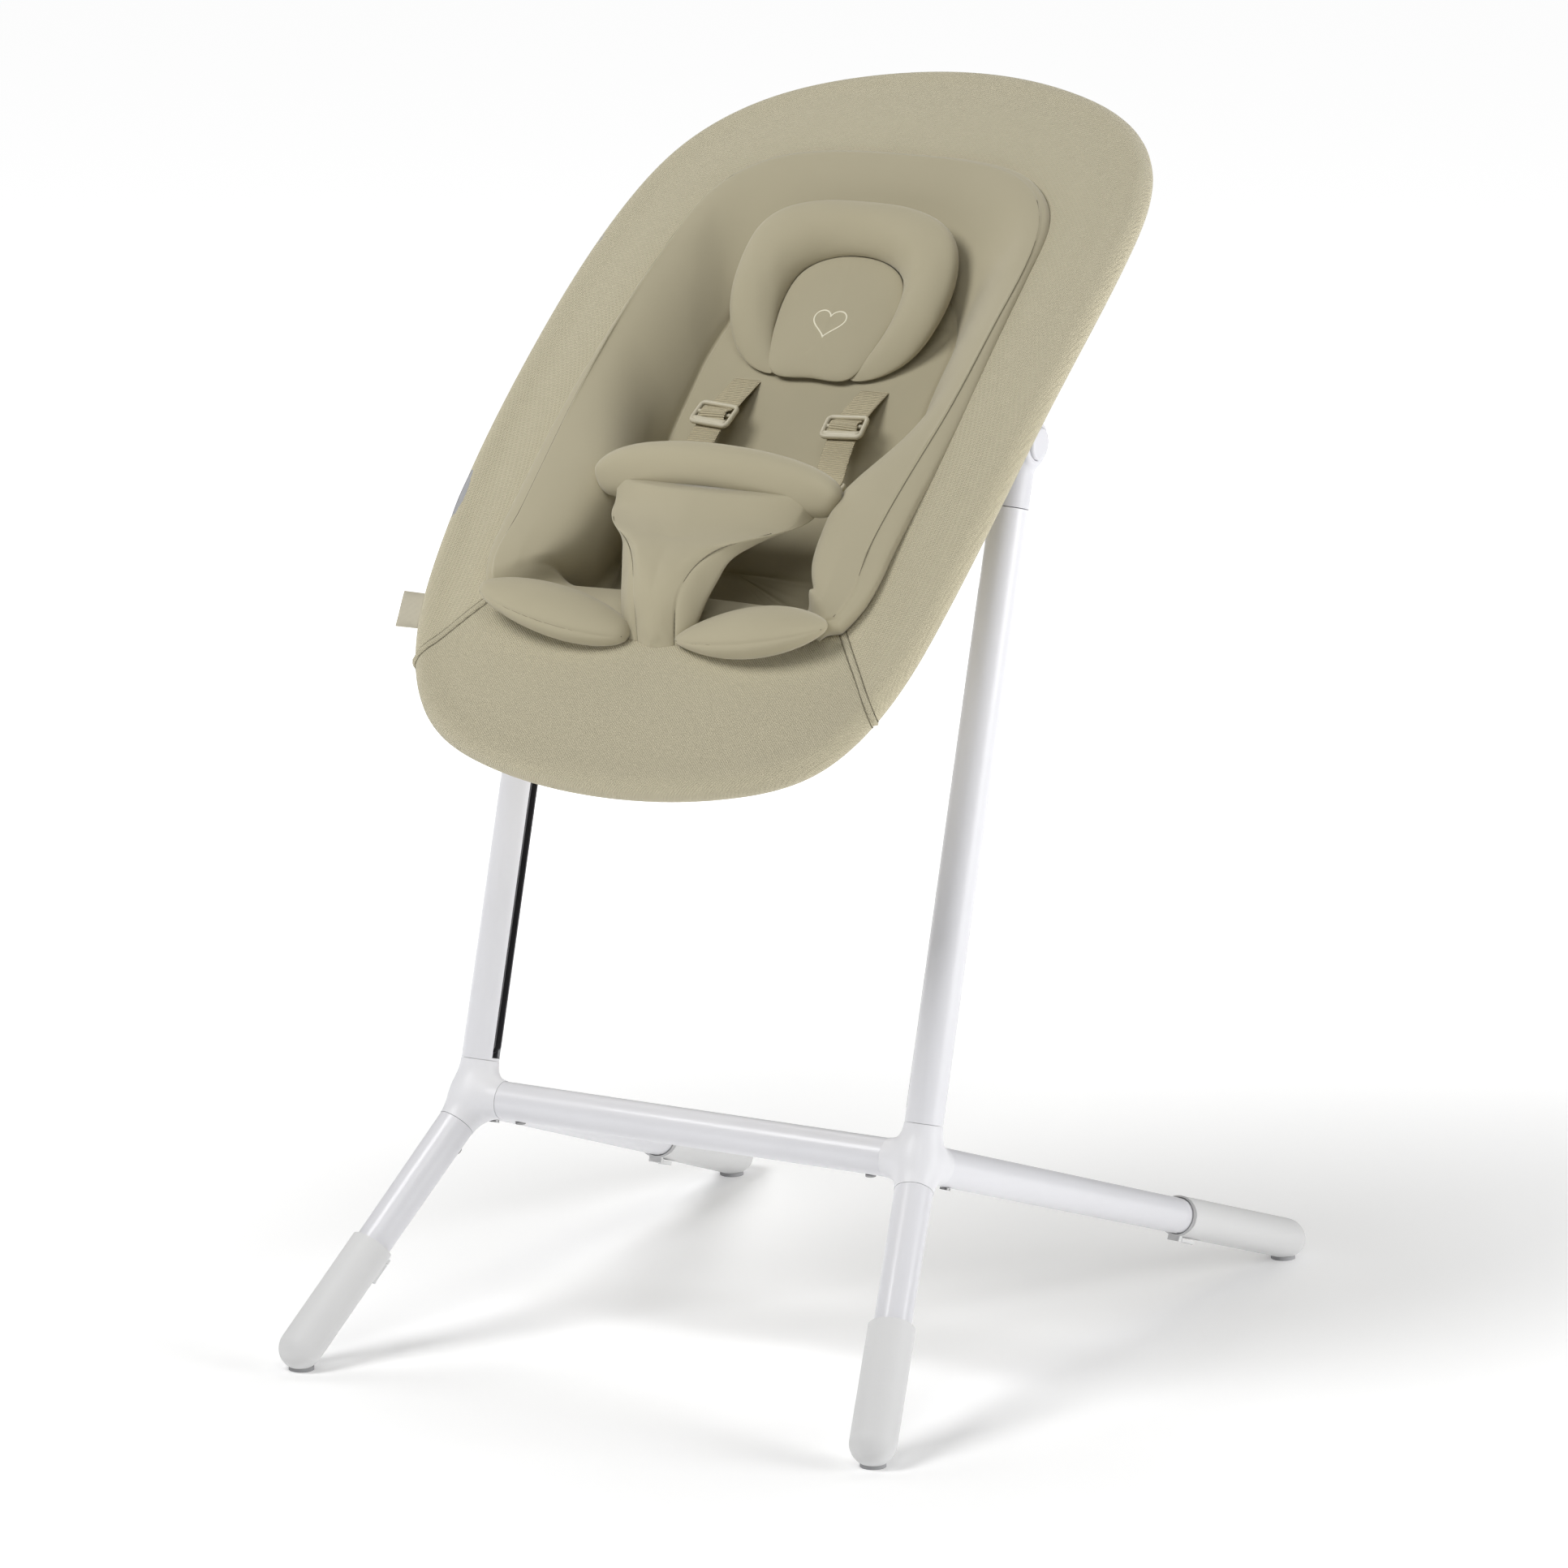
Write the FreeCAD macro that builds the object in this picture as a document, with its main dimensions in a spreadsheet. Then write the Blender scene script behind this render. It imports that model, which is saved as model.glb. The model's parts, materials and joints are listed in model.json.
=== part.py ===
import FreeCAD, Part
import math
import os
import re

# A newborn bouncer seat carried by the two posts of a tall four-legged frame.
# Row frame: +Z up, +Y towards the back, +X to the right hand of someone who faces the seat from the front.
# The origin lies on the floor, midway between the four feet. Lengths are in millimetres.

Vector = FreeCAD.Vector
SIDES = (("left", -1), ("right", 1))

DIMENSIONS = {
    # frame
    "post_spacing": 400.0,        # between the centres of the two posts
    "node_height": 189.0,         # where crossbar, post and legs meet
    "node_back": -167.0,          # Y of that point
    "pivot_height": 724.0,        # recline axis
    "pivot_back": -14.0,
    "tube_radius": 15.0,
    "tube_wall": 2.0,
    "leg_end_radius": 14.0,
    "foot_reach": 335.0,          # front and rear foot centres from the origin along Y
    "front_foot_side": 255.7,     # foot centres from the mirror plane
    "rear_foot_side": 260.9,
    "front_foot_height": 17.7,
    "rear_foot_height": 17.0,
    "node_arm": 27.0,             # casting arm up to the seam with its tube
    "node_post_arm": 29.5,
    "spigot_radius": 12.7,
    "spigot_length": 34.0,
    "bolt_radius": 2.5,
    "bolt_length": 11.0,
    "bolt_head_radius": 4.2,
    "bolt_head_height": 1.8,
    "bolt_place": 42.0,           # from the node centre along each tube
    # slot and liner down the inner face of each post
    "slot_width": 11.0,
    "liner_clearance": 0.2,
    "liner_depth": 8.0,
    "liner_wall": 1.5,
    "liner_recess": 0.7,
    # feet
    "sleeve_wide": 18.3,          # half width across the leg
    "sleeve_thin": 16.4,          # half thickness
    "sleeve_nose": 18.0,          # rounded end, along the leg
    "sleeve_bore": 14.95,
    "bush_radius": 14.88,
    "bush_length": 16.0,
    "front_mouth": 100.0,         # sleeve mouth to foot centre
    "rear_mouth": 162.0,
    "leg_stop": 26.0,             # the leg tube ends this far short of the foot centre
    "pad_radius": 10.0,
    "pad_height": 3.2,
    "latch_length": 18.0,
    "latch_width": 11.0,
    "latch_gap": 0.8,
    "latch_proud": 3.6,
    "latch_thick": 2.6,
    "latch_grip_radius": 1.2,
    "hinge_block_length": 4.0,
    "hinge_block_gap": 0.2,       # from the mouth to the hinge block
    "hinge_block_root": 1.4,      # how deep it sits in the sleeve's wall
    "notch_length": 9.0,          # finger notch beyond the latch
    "notch_depth": 0.9,
    # adapters and hubs
    "adapter_seam": 505.0,        # from the node centre up the post
    "adapter_spigot": 60.0,
    "adapter_spigot_radius": 12.9,
    "stem_length": 15.0,          # round part of the adapter above the seam
    "hub_radius": 17.5,
    "hub_half": 17.0,
    "hub_wall": 6.0,
    "pin_radius": 5.0,
    "pin_clearance": 0.06,
    "disc_radius": 16.0,
    "disc_thick": 2.5,
    "disc_gap": 0.5,
    "button_radius": 13.0,
    "button_gap": 0.4,
    "button_proud": 3.0,
    "button_thick": 8.0,
    "gear_radius": 11.0,
    "gear_thick": 4.0,
    "spring_wire": 0.6,
    "spring_clearance": 1.8,      # from the pin to the middle of the coil's wire
    "spring_turns": 4.0,
    "spring_gap": 0.2,            # to the gear and to the hub's wall
    # seat
    "seat_angle": 39.05,          # chord of the bent ring above the floor
    "bend_radius": 1763.5,        # side view of the ring, bulging towards the baby
    "ring_chord": 757.0,
    "pivot_along": 376.0,         # recline axis in the seat's own frame
    "pivot_above": 10.1,
    "rim_half": 11.0,             # half thickness of the covered rim
    "ring_tube_radius": 8.0,
    "ring_tube_wall": 1.2,
    "ring_inset": 11.0,
    "band_bottom": 3.0,           # underside of the flat border fabric above the ring's middle
    "bracket_thick": 7.5,
    "bracket_radius": 20.0,
    "strut_radius": 8.0,
    "strut_drop": 44.0,
    "neck_half": 18.0,            # half width of the bracket's neck and arm
    "tail_width": 24.0,
    "arm_thick": 7.0,
    "arm_drop": 10.0,             # underside of the arm below the ring's middle
    "socket_radius": 10.4,
    "socket_half": 30.0,
    "sling_thick": 3.5,
    "inlay_thick": 8.0,
    "inlay_top": 22.0,
    "webbing_width": 25.0,
    "webbing_thick": 1.6,
    "adjuster_rim": 4.5,          # frame of the strap adjuster beside the webbing
    "adjuster_length": 24.0,
    "adjuster_thick": 4.0,
    "adjuster_slot": 7.0,
    "clip_length": 16.0,
    "clip_thick": 5.0,
    "bolster_across": 96.5,       # middle of each leg bolster
    "bolster_along": 143.0,
    "bolster_above": 26.0,
    "bolster_long": 59.0,         # its half sizes
    "bolster_wide": 20.0,
    "bolster_tall": 12.5,
    "bolster_lean": 5.5,
    "label_length": 34.0,
    "label_width": 24.0,
    "label_thick": 1.2,
    # harness front
    "harness_back": -225.0,       # hinge line at the root of the crotch pad
    "harness_height": 577.0,
    "crotch_thick": 11.0,
    "bumper_tall": 19.0,          # half height
    "bumper_deep": 12.5,          # half thickness
    "tongue_wide": 40.0,
    "tongue_deep": 30.0,
    "tongue_tall": 10.0,
}

doc = FreeCAD.newDocument("bouncer_seat")
sheet = doc.addObject("Spreadsheet::Sheet", "dims")
for row, (alias, number) in enumerate(DIMENSIONS.items(), start=1):
    sheet.set(f"A{row}", alias)
    sheet.set(f"B{row}", str(number))
    sheet.setAlias(f"B{row}", alias)
doc.recompute()

sub_parts = []


def size(alias):
    """The number that the sheet holds under this name."""
    return float(getattr(sheet, alias))


def bound(text):
    """An expression in which every word is a cell of the sheet."""
    return re.sub(r"[a-z][a-z_]*", lambda word: "dims." + word.group(), text)


def make(kind, name, place, **sizes):
    """Adds a document object at a placement, with its sizes bound to the sheet."""
    obj = doc.addObject(kind, name)
    for prop, text in sizes.items():
        obj.setExpression(prop, bound(text))
    obj.Placement = place
    return obj


def at(x=0.0, y=0.0, z=0.0):
    return FreeCAD.Placement(Vector(x, y, z), FreeCAD.Rotation())


def facing(origin, direction, sideways):
    """A placement whose Z runs along direction and whose X leans towards sideways."""
    z_axis = Vector(direction).normalize()
    x_axis = sideways - z_axis * sideways.dot(z_axis)
    x_axis.normalize()
    return FreeCAD.Placement(origin, FreeCAD.Rotation(x_axis, z_axis.cross(x_axis), z_axis, "ZXY"))


def along_x(x, y=0.0, z=0.0):
    """A placement whose Z runs along +X, starting at the given point."""
    return facing(Vector(x, y, z), Vector(1, 0, 0), Vector(0, 0, -1))


def cylinder(name, radius, height, place=at()):
    return make("Part::Cylinder", name, place, Radius=radius, Height=height)


def box(name, length, width, height, place=at()):
    return make("Part::Box", name, place, Length=length, Width=width, Height=height)


def fuse(name, *pieces):
    joined = doc.addObject("Part::MultiFuse", name)
    joined.Shapes = list(pieces)
    return joined


def cut(name, base, *tools):
    """Takes one or more tools away from base."""
    result = doc.addObject("Part::Cut", name)
    result.Base = base
    result.Tool = tools[0] if len(tools) == 1 else fuse(name + "_tools", *tools)
    return result


def common(name, first, second):
    result = doc.addObject("Part::Common", name)
    result.Base = first
    result.Tool = second
    return result


def code_shape(name, shape):
    """A shape that no primitive gives, worked out by Part's own functions."""
    obj = doc.addObject("Part::Feature", name)
    obj.Shape = shape
    return obj


def sub_part(obj, node, place=at()):
    obj.Label = node
    obj.Placement = place
    sub_parts.append(obj)
    return obj


# ---------------------------------------------------------------- frame

half_spacing = size("post_spacing") / 2
node_arm = size("node_arm")
post_rise = size("pivot_height") - size("node_height")
post_lean = size("pivot_back") - size("node_back")
post_length = math.hypot(post_rise, post_lean)
DOWN = Vector(0, 0, -1)


def node_centre(sign):
    return Vector(sign * half_spacing, size("node_back"), size("node_height"))


def foot_centre(sign, end):
    reach = -size("foot_reach") if end == "front" else size("foot_reach")
    return Vector(sign * size(end + "_foot_side"), reach, size(end + "_foot_height"))


def leg_frame(sign, end):
    """Origin at the node, Z towards the foot, X on the underside."""
    centre = node_centre(sign)
    return facing(centre, foot_centre(sign, end) - centre, DOWN)


def post_frame(sign):
    """Origin at the node, Z up the post, X towards the other post."""
    return facing(node_centre(sign), Vector(0, post_lean, post_rise), Vector(-sign, 0, 0))


def bar_frame(sign):
    """Origin at the node, Z along the crossbar towards its middle, X on the underside."""
    return facing(node_centre(sign), Vector(-sign, 0, 0), DOWN)


def leg_length(sign, end):
    return (foot_centre(sign, end) - node_centre(sign)).Length


def bolt_hole(name, along):
    """A hole across the underside wall of a tube and the spigot in it, in the tube's own frame."""
    start = size("tube_radius") - size("bolt_length")
    return cylinder(name, "bolt_radius + 0.05", "bolt_length + 3", along_x(start, 0, along))


def bolt(name, along):
    """A button-head bolt with its head just proud of the underside, in the tube's own frame."""
    start = size("tube_radius") + 0.1 - size("bolt_length") + 1
    shank = cylinder(name + "_shank", "bolt_radius", "bolt_length - 1", along_x(start, 0, along))
    head = cylinder(
        name + "_head", "bolt_head_radius", "bolt_head_height", along_x(size("tube_radius") + 0.1, 0, along)
    )
    return fuse(name, shank, head)


def make_crossbar():
    outer = cylinder("bar_outer", "tube_radius", "post_spacing - 2 * node_arm", at(0, 0, node_arm))
    inner = cylinder(
        "bar_inner", "tube_radius - tube_wall", "post_spacing - 2 * node_arm", at(0, 0, node_arm)
    )
    near_hole = bolt_hole("bar_hole_near", size("bolt_place"))
    far_hole = bolt_hole("bar_hole_far", size("post_spacing") - size("bolt_place"))
    sub_part(cut("crossbar", outer, inner, near_hole, far_hole), "crossbar", bar_frame(-1))


def make_leg(side, sign, end):
    """A tube that tapers slightly towards the foot."""
    node = f"{side}_{end}_leg"
    length = leg_length(sign, end) - size("leg_stop") - node_arm
    start = at(0, 0, node_arm)
    outer = make("Part::Cone", node + "_outer", start, Radius1="tube_radius", Radius2="leg_end_radius")
    inner = make(
        "Part::Cone",
        node + "_inner",
        start,
        Radius1="tube_radius - tube_wall",
        Radius2="leg_end_radius - tube_wall",
    )
    outer.Height = length
    inner.Height = length
    hole = bolt_hole(node + "_hole", size("bolt_place"))
    sub_part(cut(node, outer, inner, hole), node, leg_frame(sign, end))


def casting_arm(name, frame, reach):
    """One arm of the casting with the spigot that enters the tube, in the casting's frame."""
    arm = make("Part::Cylinder", name + "_arm", frame, Radius="tube_radius")
    arm.Height = reach
    spigot = make("Part::Cylinder", name + "_spigot", frame, Radius="spigot_radius")
    spigot.Height = reach + size("spigot_length")
    return fuse(name, arm, spigot)


def make_node(side, sign):
    """Four-way cast joint: crossbar, post and two legs meet in one blended knuckle."""
    node = f"{side}_leg_node"
    home = at(*node_centre(sign))
    inverse = home.inverse()
    arms = [casting_arm(f"{node}_bar", inverse.multiply(bar_frame(sign)), node_arm)]
    for end in ("front", "rear"):
        arms.append(casting_arm(f"{node}_{end}", inverse.multiply(leg_frame(sign, end)), node_arm))
    arms.append(casting_arm(f"{node}_post", inverse.multiply(post_frame(sign)), size("node_post_arm")))
    knuckle = make("Part::Sphere", node + "_knuckle", at(), Radius="tube_radius + 1.5")
    frames = [bar_frame(sign), leg_frame(sign, "front"), leg_frame(sign, "rear")]
    cuts = []
    for index, frame in enumerate(frames):
        hole = bolt_hole(f"{node}_hole_{index}", size("bolt_place"))
        hole.Placement = inverse.multiply(frame).multiply(hole.Placement)
        cuts.append(hole)
    room_back = size("tube_radius") - size("liner_depth") - 1.5
    liner_room = box(
        node + "_liner_room",
        "liner_depth + 3",
        "slot_width",
        "spigot_length + 2",
        inverse.multiply(post_frame(sign)).multiply(
            at(room_back, -size("slot_width") / 2, size("node_post_arm"))
        ),
    )
    sub_part(cut(node, fuse(node + "_body", knuckle, *arms), liner_room, *cuts), node, home)


def make_post(side, sign):
    """Round tube with a slot down its inner face and a white lip left below the slot."""
    start = size("node_post_arm")
    outer = cylinder(side + "_post_outer", "tube_radius", "adapter_seam - node_post_arm", at(0, 0, start))
    inner = cylinder(
        side + "_post_inner", "tube_radius - tube_wall", "adapter_seam - node_post_arm", at(0, 0, start)
    )
    slot = box(
        side + "_post_slot",
        "tube_radius",
        "slot_width",
        "adapter_seam - adapter_spigot - node_post_arm - 4",
        at(size("spigot_radius") / 2, -size("slot_width") / 2, start + 2),
    )
    sub_part(cut(side + "_post", outer, inner, slot), side + "_post", post_frame(sign))


def make_post_channel(side, sign):
    """Dark U-shaped liner that fills the slot, open towards the other post, its lower end cut on a slant."""
    node = side + "_post_channel"
    gap = size("liner_clearance")
    wide = size("slot_width") - 2 * gap
    face = size("tube_radius") - size("liner_recess")
    bottom = size("node_post_arm") + 2 + gap
    outer = box(
        node + "_outer",
        "liner_depth",
        "slot_width - 2 * liner_clearance",
        "adapter_seam - adapter_spigot - node_post_arm - 5",
        at(face - size("liner_depth"), -wide / 2, bottom),
    )
    groove = box(
        node + "_groove",
        "liner_depth",
        "slot_width - 2 * liner_clearance - 2 * liner_wall",
        "adapter_seam",
        at(face - size("liner_depth") + size("liner_wall"), -wide / 2 + size("liner_wall"), 0),
    )
    slant = box(node + "_slant", "liner_depth * 3", "slot_width * 2", "liner_depth * 2")
    slant_turn = FreeCAD.Rotation(Vector(0, 1, 0), -35)
    slant.Placement = FreeCAD.Placement(Vector(face - 2, -wide, bottom - 12.5), slant_turn)
    sub_part(cut(node, outer, groove, slant), node, post_frame(sign))


def make_bolts():
    """Three button-head bolts under each casting, all alike."""
    bolts = []
    for side, sign in SIDES:
        frames = {"bar": bar_frame(sign), "front": leg_frame(sign, "front"), "rear": leg_frame(sign, "rear")}
        for arm, frame in frames.items():
            single = bolt(f"bolt_{side}_{arm}", size("bolt_place"))
            single.Placement = frame
            bolts.append(single)
    sub_part(fuse("leg_bolts", *bolts), "leg_bolts")


# ---------------------------------------------------------------- feet


def make_bushes():
    """Plastic bushes pressed on the leg ends, on which the foot sleeves slide."""
    bushes = []
    for side, sign in SIDES:
        for end in ("front", "rear"):
            name = f"bush_{side}_{end}"
            start = leg_length(sign, end) - size("leg_stop") + 0.1
            outer = cylinder(name + "_outer", "bush_radius", "bush_length * 0.3", at(0, 0, start))
            plug_start = at(0, 0, start - size("bush_length") + 1)
            plug = cylinder(name + "_plug", "leg_end_radius - tube_wall - 0.1", "bush_length", plug_start)
            bushes.append(fuse(name, outer, plug))
            bushes[-1].Placement = leg_frame(sign, end)
    sub_part(fuse("leg_end_bushes", *bushes), "leg_end_bushes")


def make_foot(side, sign, end):
    """Sleeve with a rounded nose, its rubber pad and its latch tab."""
    stem = f"{side}_{end}_foot"
    frame = leg_frame(sign, end)
    centre = leg_length(sign, end)
    mouth = centre - size(end + "_mouth")
    ring = make(
        "Part::Ellipse",
        stem + "_section",
        FreeCAD.Placement(Vector(0, 0, mouth), FreeCAD.Rotation(Vector(0, 0, 1), 90)),
        MajorRadius="sleeve_wide",
        MinorRadius="sleeve_thin",
    )
    barrel = doc.addObject("Part::Extrusion", stem + "_barrel")
    barrel.Base = ring
    barrel.DirMode = "Custom"
    barrel.Dir = Vector(0, 0, 1)
    barrel.Solid = True
    barrel.setExpression("LengthFwd", bound(end + "_mouth"))
    nose = make(
        "Part::Ellipsoid",
        stem + "_nose",
        at(0, 0, centre),
        Radius1="sleeve_nose",
        Radius2="sleeve_thin",
        Radius3="sleeve_wide",
    )
    nose.Angle1 = -90
    nose.Angle2 = 90
    latch_start = mouth + size("hinge_block_gap") + size("hinge_block_length") + size("latch_gap")
    hinge_block = box(
        stem + "_hinge_block",
        "latch_proud + sleeve_thin - sleeve_bore + hinge_block_root + 0.15",
        "latch_width",
        "hinge_block_length",
        at(
            size("sleeve_bore") - size("hinge_block_root"),
            -size("latch_width") / 2,
            mouth + size("hinge_block_gap"),
        ),
    )
    bore = cylinder(stem + "_bore", "sleeve_bore", end + "_mouth - 14", at(0, 0, mouth))
    finger_notch = box(
        stem + "_finger_notch",
        "4 * notch_depth",
        "latch_width + 3",
        "notch_length",
        at(
            size("sleeve_thin") - size("notch_depth"),
            -size("latch_width") / 2 - 1.5,
            latch_start + size("latch_length"),
        ),
    )
    under = foot_centre(sign, end)
    sole = at(under.x, under.y, 0.0)
    below = 5.8
    pocket = cylinder(
        stem + "_pocket",
        "pad_radius + 0.2",
        "pad_height + 6",
        frame.inverse().multiply(at(under.x, under.y, -below)),
    )
    body = fuse(stem + "_body", barrel, nose, hinge_block)
    sub_part(cut(stem + "_sleeve", body, bore, finger_notch, pocket), stem + "_sleeve", frame)
    pad = cylinder(stem + "_pad", "pad_radius", "pad_height")
    sub_part(pad, stem + "_pad", sole)
    latch_inside = size("sleeve_thin") + size("latch_proud") - size("latch_thick")
    latch = box(
        stem + "_latch_tab",
        "latch_thick",
        "latch_width",
        "latch_length",
        at(latch_inside, -size("latch_width") / 2, latch_start),
    )
    grip = cylinder(
        stem + "_latch_grip",
        "latch_grip_radius",
        "latch_width",
        facing(
            Vector(
                size("sleeve_thin") + size("latch_proud") - size("latch_grip_radius") / 2,
                -size("latch_width") / 2,
                latch_start + size("latch_length") - size("latch_grip_radius"),
            ),
            Vector(0, 1, 0),
            Vector(1, 0, 0),
        ),
    )
    sub_part(fuse(stem + "_latch", latch, grip), stem + "_latch", frame)


# ---------------------------------------------------------------- seat carrier


RATCHET_TEETH = 24
GEAR_TEETH = 12


def toothed_disc(name, radius, thick, bore, teeth):
    """Flat disc with square notches round its rim, about its own Z axis."""
    notches = []
    for index in range(teeth):
        angle = 360.0 * index / teeth
        spin = FreeCAD.Placement(Vector(0, 0, 0), FreeCAD.Rotation(Vector(0, 0, 1), angle))
        place = spin.multiply(at(size(radius) - 1.6, -1, -1))
        notch = box(f"{name}_notch_{index}", "3", "2", thick + " + 2", place)
        notches.append(notch)
    disc = cylinder(name + "_disc", radius, thick)
    hole = cylinder(name + "_hole", bore, thick)
    return cut(name, disc, hole, *notches)


def make_adapter(side, sign):
    """Plastic head of the post: spigot in the tube, stem, and the hub that carries the seat."""
    node = side + "_adapter"
    seam = size("adapter_seam")
    half = size("hub_half")
    spigot_start = at(0, 0, seam - size("adapter_spigot"))
    spigot = cylinder(node + "_spigot", "adapter_spigot_radius", "adapter_spigot + 1", spigot_start)
    stem = cylinder(node + "_stem", "tube_radius", "stem_length", at(0, 0, seam + 0.4))
    flare_start = seam + size("stem_length")
    flare = make("Part::Cone", node + "_flare", at(0, 0, flare_start), Radius1="tube_radius", Radius2="hub_half")
    flare.Height = post_length - flare_start
    hub = cylinder(node + "_hub", "hub_radius", "2 * hub_half", along_x(-half, 0, post_length))
    recess = cylinder(
        node + "_recess",
        "button_radius + button_gap",
        "2 * hub_half - hub_wall + 3",
        along_x(-half - 3, 0, post_length),
    )
    bore = cylinder(node + "_bore", "pin_radius", "3 * hub_half", along_x(-half, 0, post_length))
    ratchet = toothed_disc(node + "_ratchet", "disc_radius", "disc_thick", "pin_radius", RATCHET_TEETH)
    ratchet.Placement = along_x(half, 0, post_length)
    body = fuse(node + "_body", spigot, stem, flare, hub, ratchet)
    sub_part(cut(node, body, recess, bore), node, post_frame(sign))


def make_hub_parts(side, sign):
    """Pin, the seat's ratchet, lock gear, button and its spring, all on the recline axis."""
    hub_frame = post_frame(sign).multiply(along_x(0, 0, post_length))
    half = size("hub_half")
    inner_face = half + size("disc_thick") + size("disc_gap")
    bracket_face = inner_face + size("disc_thick")

    def on_axis(distance):
        return hub_frame.multiply(at(0, 0, distance))

    pin_start = 2.0
    shank = make("Part::Cylinder", side + "_pin_shank", at(), Radius="pin_radius")
    shank.Height = bracket_face + size("bracket_thick") + 0.3 - pin_start
    head = cylinder(side + "_pin_head", "pin_radius + 3", "3.5", at(0, 0, shank.Height.Value))
    sub_part(fuse(side + "_pivot_pin", shank, head), side + "_pivot_pin", on_axis(pin_start))

    pin_fit = "pin_radius + pin_clearance"
    moving = toothed_disc(side + "_seat_ratchet", "disc_radius", "disc_thick", pin_fit, RATCHET_TEETH)
    sub_part(moving, side + "_seat_ratchet", on_axis(inner_face))

    gear = toothed_disc(side + "_lock_gear", "gear_radius", "gear_thick", "pin_radius + 0.5", GEAR_TEETH)
    gear_start = -half - size("button_proud") + size("button_thick")
    sub_part(gear, side + "_lock_gear", on_axis(gear_start))

    face = cylinder(side + "_button_face", "button_radius", "button_thick")
    edge = doc.addObject("Part::Fillet", side + "_recline_button")
    edge.Base = face
    doc.recompute()
    for index, rim in enumerate(face.Shape.Edges, start=1):
        if rim.Closed and rim.CenterOfMass.z < 0.1:
            edge.Edges = [(index, 2.0, 2.0)]
    sub_part(edge, side + "_recline_button", on_axis(-half - size("button_proud")))

    spring_start = gear_start + size("gear_thick") + size("spring_gap")
    spring_end = half - size("hub_wall") - size("spring_gap")
    wire = size("spring_wire")
    rise = spring_end - spring_start - 2 * wire
    coil_radius = size("pin_radius") + size("spring_clearance")
    helix = Part.makeLongHelix(rise / size("spring_turns"), rise, coil_radius)
    section = Part.Wire(Part.makeCircle(wire, Vector(coil_radius, 0, 0), Vector(0, 1, 0)))
    coil = Part.Wire(helix.Edges).makePipeShell([section], True, True)
    sub_part(code_shape(side + "_button_spring", coil), side + "_button_spring", on_axis(spring_start + wire))


# ---------------------------------------------------------------- seat, in its own frame
# X across, Y up the chord of the bent ring from its foot end, Z out of the seat towards the baby.

bend_radius = size("bend_radius")
chord_middle = size("ring_chord") / 2
bend_depth = math.sqrt(bend_radius**2 - chord_middle**2)
tilt = FreeCAD.Rotation(Vector(1, 0, 0), size("seat_angle"))
pivot_local = Vector(0, size("pivot_along"), size("pivot_above"))
pivot_world = Vector(0, size("pivot_back"), size("pivot_height"))
seat_frame = FreeCAD.Placement(pivot_world - tilt.multVec(pivot_local), tilt)

# Half outlines (across, along), from the foot end to the head end.
RIM_SIDE = 232
RIM = (
    (0, 0), (105, 12), (170, 41), (204, 90), (224, 180), (RIM_SIDE, 395),
    (227, 560), (208, 645), (167, 701), (97, 740), (0, 757),
)
INLAY = (
    (156, 148), (165, 214), (171, 370), (168, 458), (163, 525), (150, 575), (121, 607), (80, 626), (0, 632),
)
INLAY_FRONT = 122
PILLOW = ((0, 416), (48, 418), (78, 438), (95, 475), (97, 510), (86, 542), (55, 560), (0, 566))
HEAD_PAD = ((0, 414), (34, 416), (48, 452), (52, 485), (45, 512), (25, 526), (0, 530))


def arch(along, above=0.0):
    """Height over the chord of a point on the bent surface or parallel to it."""
    return math.sqrt((bend_radius + above) ** 2 - (along - chord_middle) ** 2) - bend_depth


def drum(name, above):
    """A cylinder whose skin is the bent surface moved outwards by above."""
    place = facing(Vector(-300, chord_middle, -bend_depth), Vector(1, 0, 0), Vector(0, 0, -1))
    roll = make("Part::Cylinder", name, place)
    roll.Radius = bend_radius + above
    roll.Height = 600
    return roll


def layer(name, low, high):
    """The space between two bent surfaces."""
    return cut(name, drum(name + "_top", high), drum(name + "_bottom", low))


def mirrored(half):
    """A closed outline from its right half, foot end first, without repeating points on the mirror line."""
    left = [(-across, along) for across, along in reversed(half) if across > 0]
    return list(half) + left


def smooth_loop(points):
    curve = Part.BSplineCurve()
    curve.interpolate(Points=[Vector(across, along, 0) for across, along in points], PeriodicFlag=True)
    return Part.Face(Part.Wire(curve.toShape()))


def grown(half, amount, middle=380.0):
    """The outline moved outwards by about amount, the same at its sides and its ends."""
    widest = max(across for across, along in half)
    longest = max(abs(along - middle) for across, along in half)
    across_scale = 1 + amount / widest
    along_scale = 1 + amount / longest
    return [(across * across_scale, middle + (along - middle) * along_scale) for across, along in half]


def inlay_loop(amount=0.0):
    """Outline of the padded inlay: round sides and head end, and a front edge bowed towards the feet."""
    half = grown(INLAY, amount)
    path = [Vector(across, along, 0) for across, along in mirrored(half)]
    sides = Part.BSplineCurve()
    sides.interpolate(Points=path)
    front = Part.Arc(path[-1], Vector(0, INLAY_FRONT - amount, 0), path[0])
    return Part.Face(Part.Wire([sides.toShape(), front.toShape()]))


def prism(name, face, bottom=-120.0, height=320.0):
    """A plan outline carried straight through the seat, across its thickness."""
    solid = face.copy()
    solid.translate(Vector(0, 0, bottom))
    return code_shape(name, solid.extrude(Vector(0, 0, height)))


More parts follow.
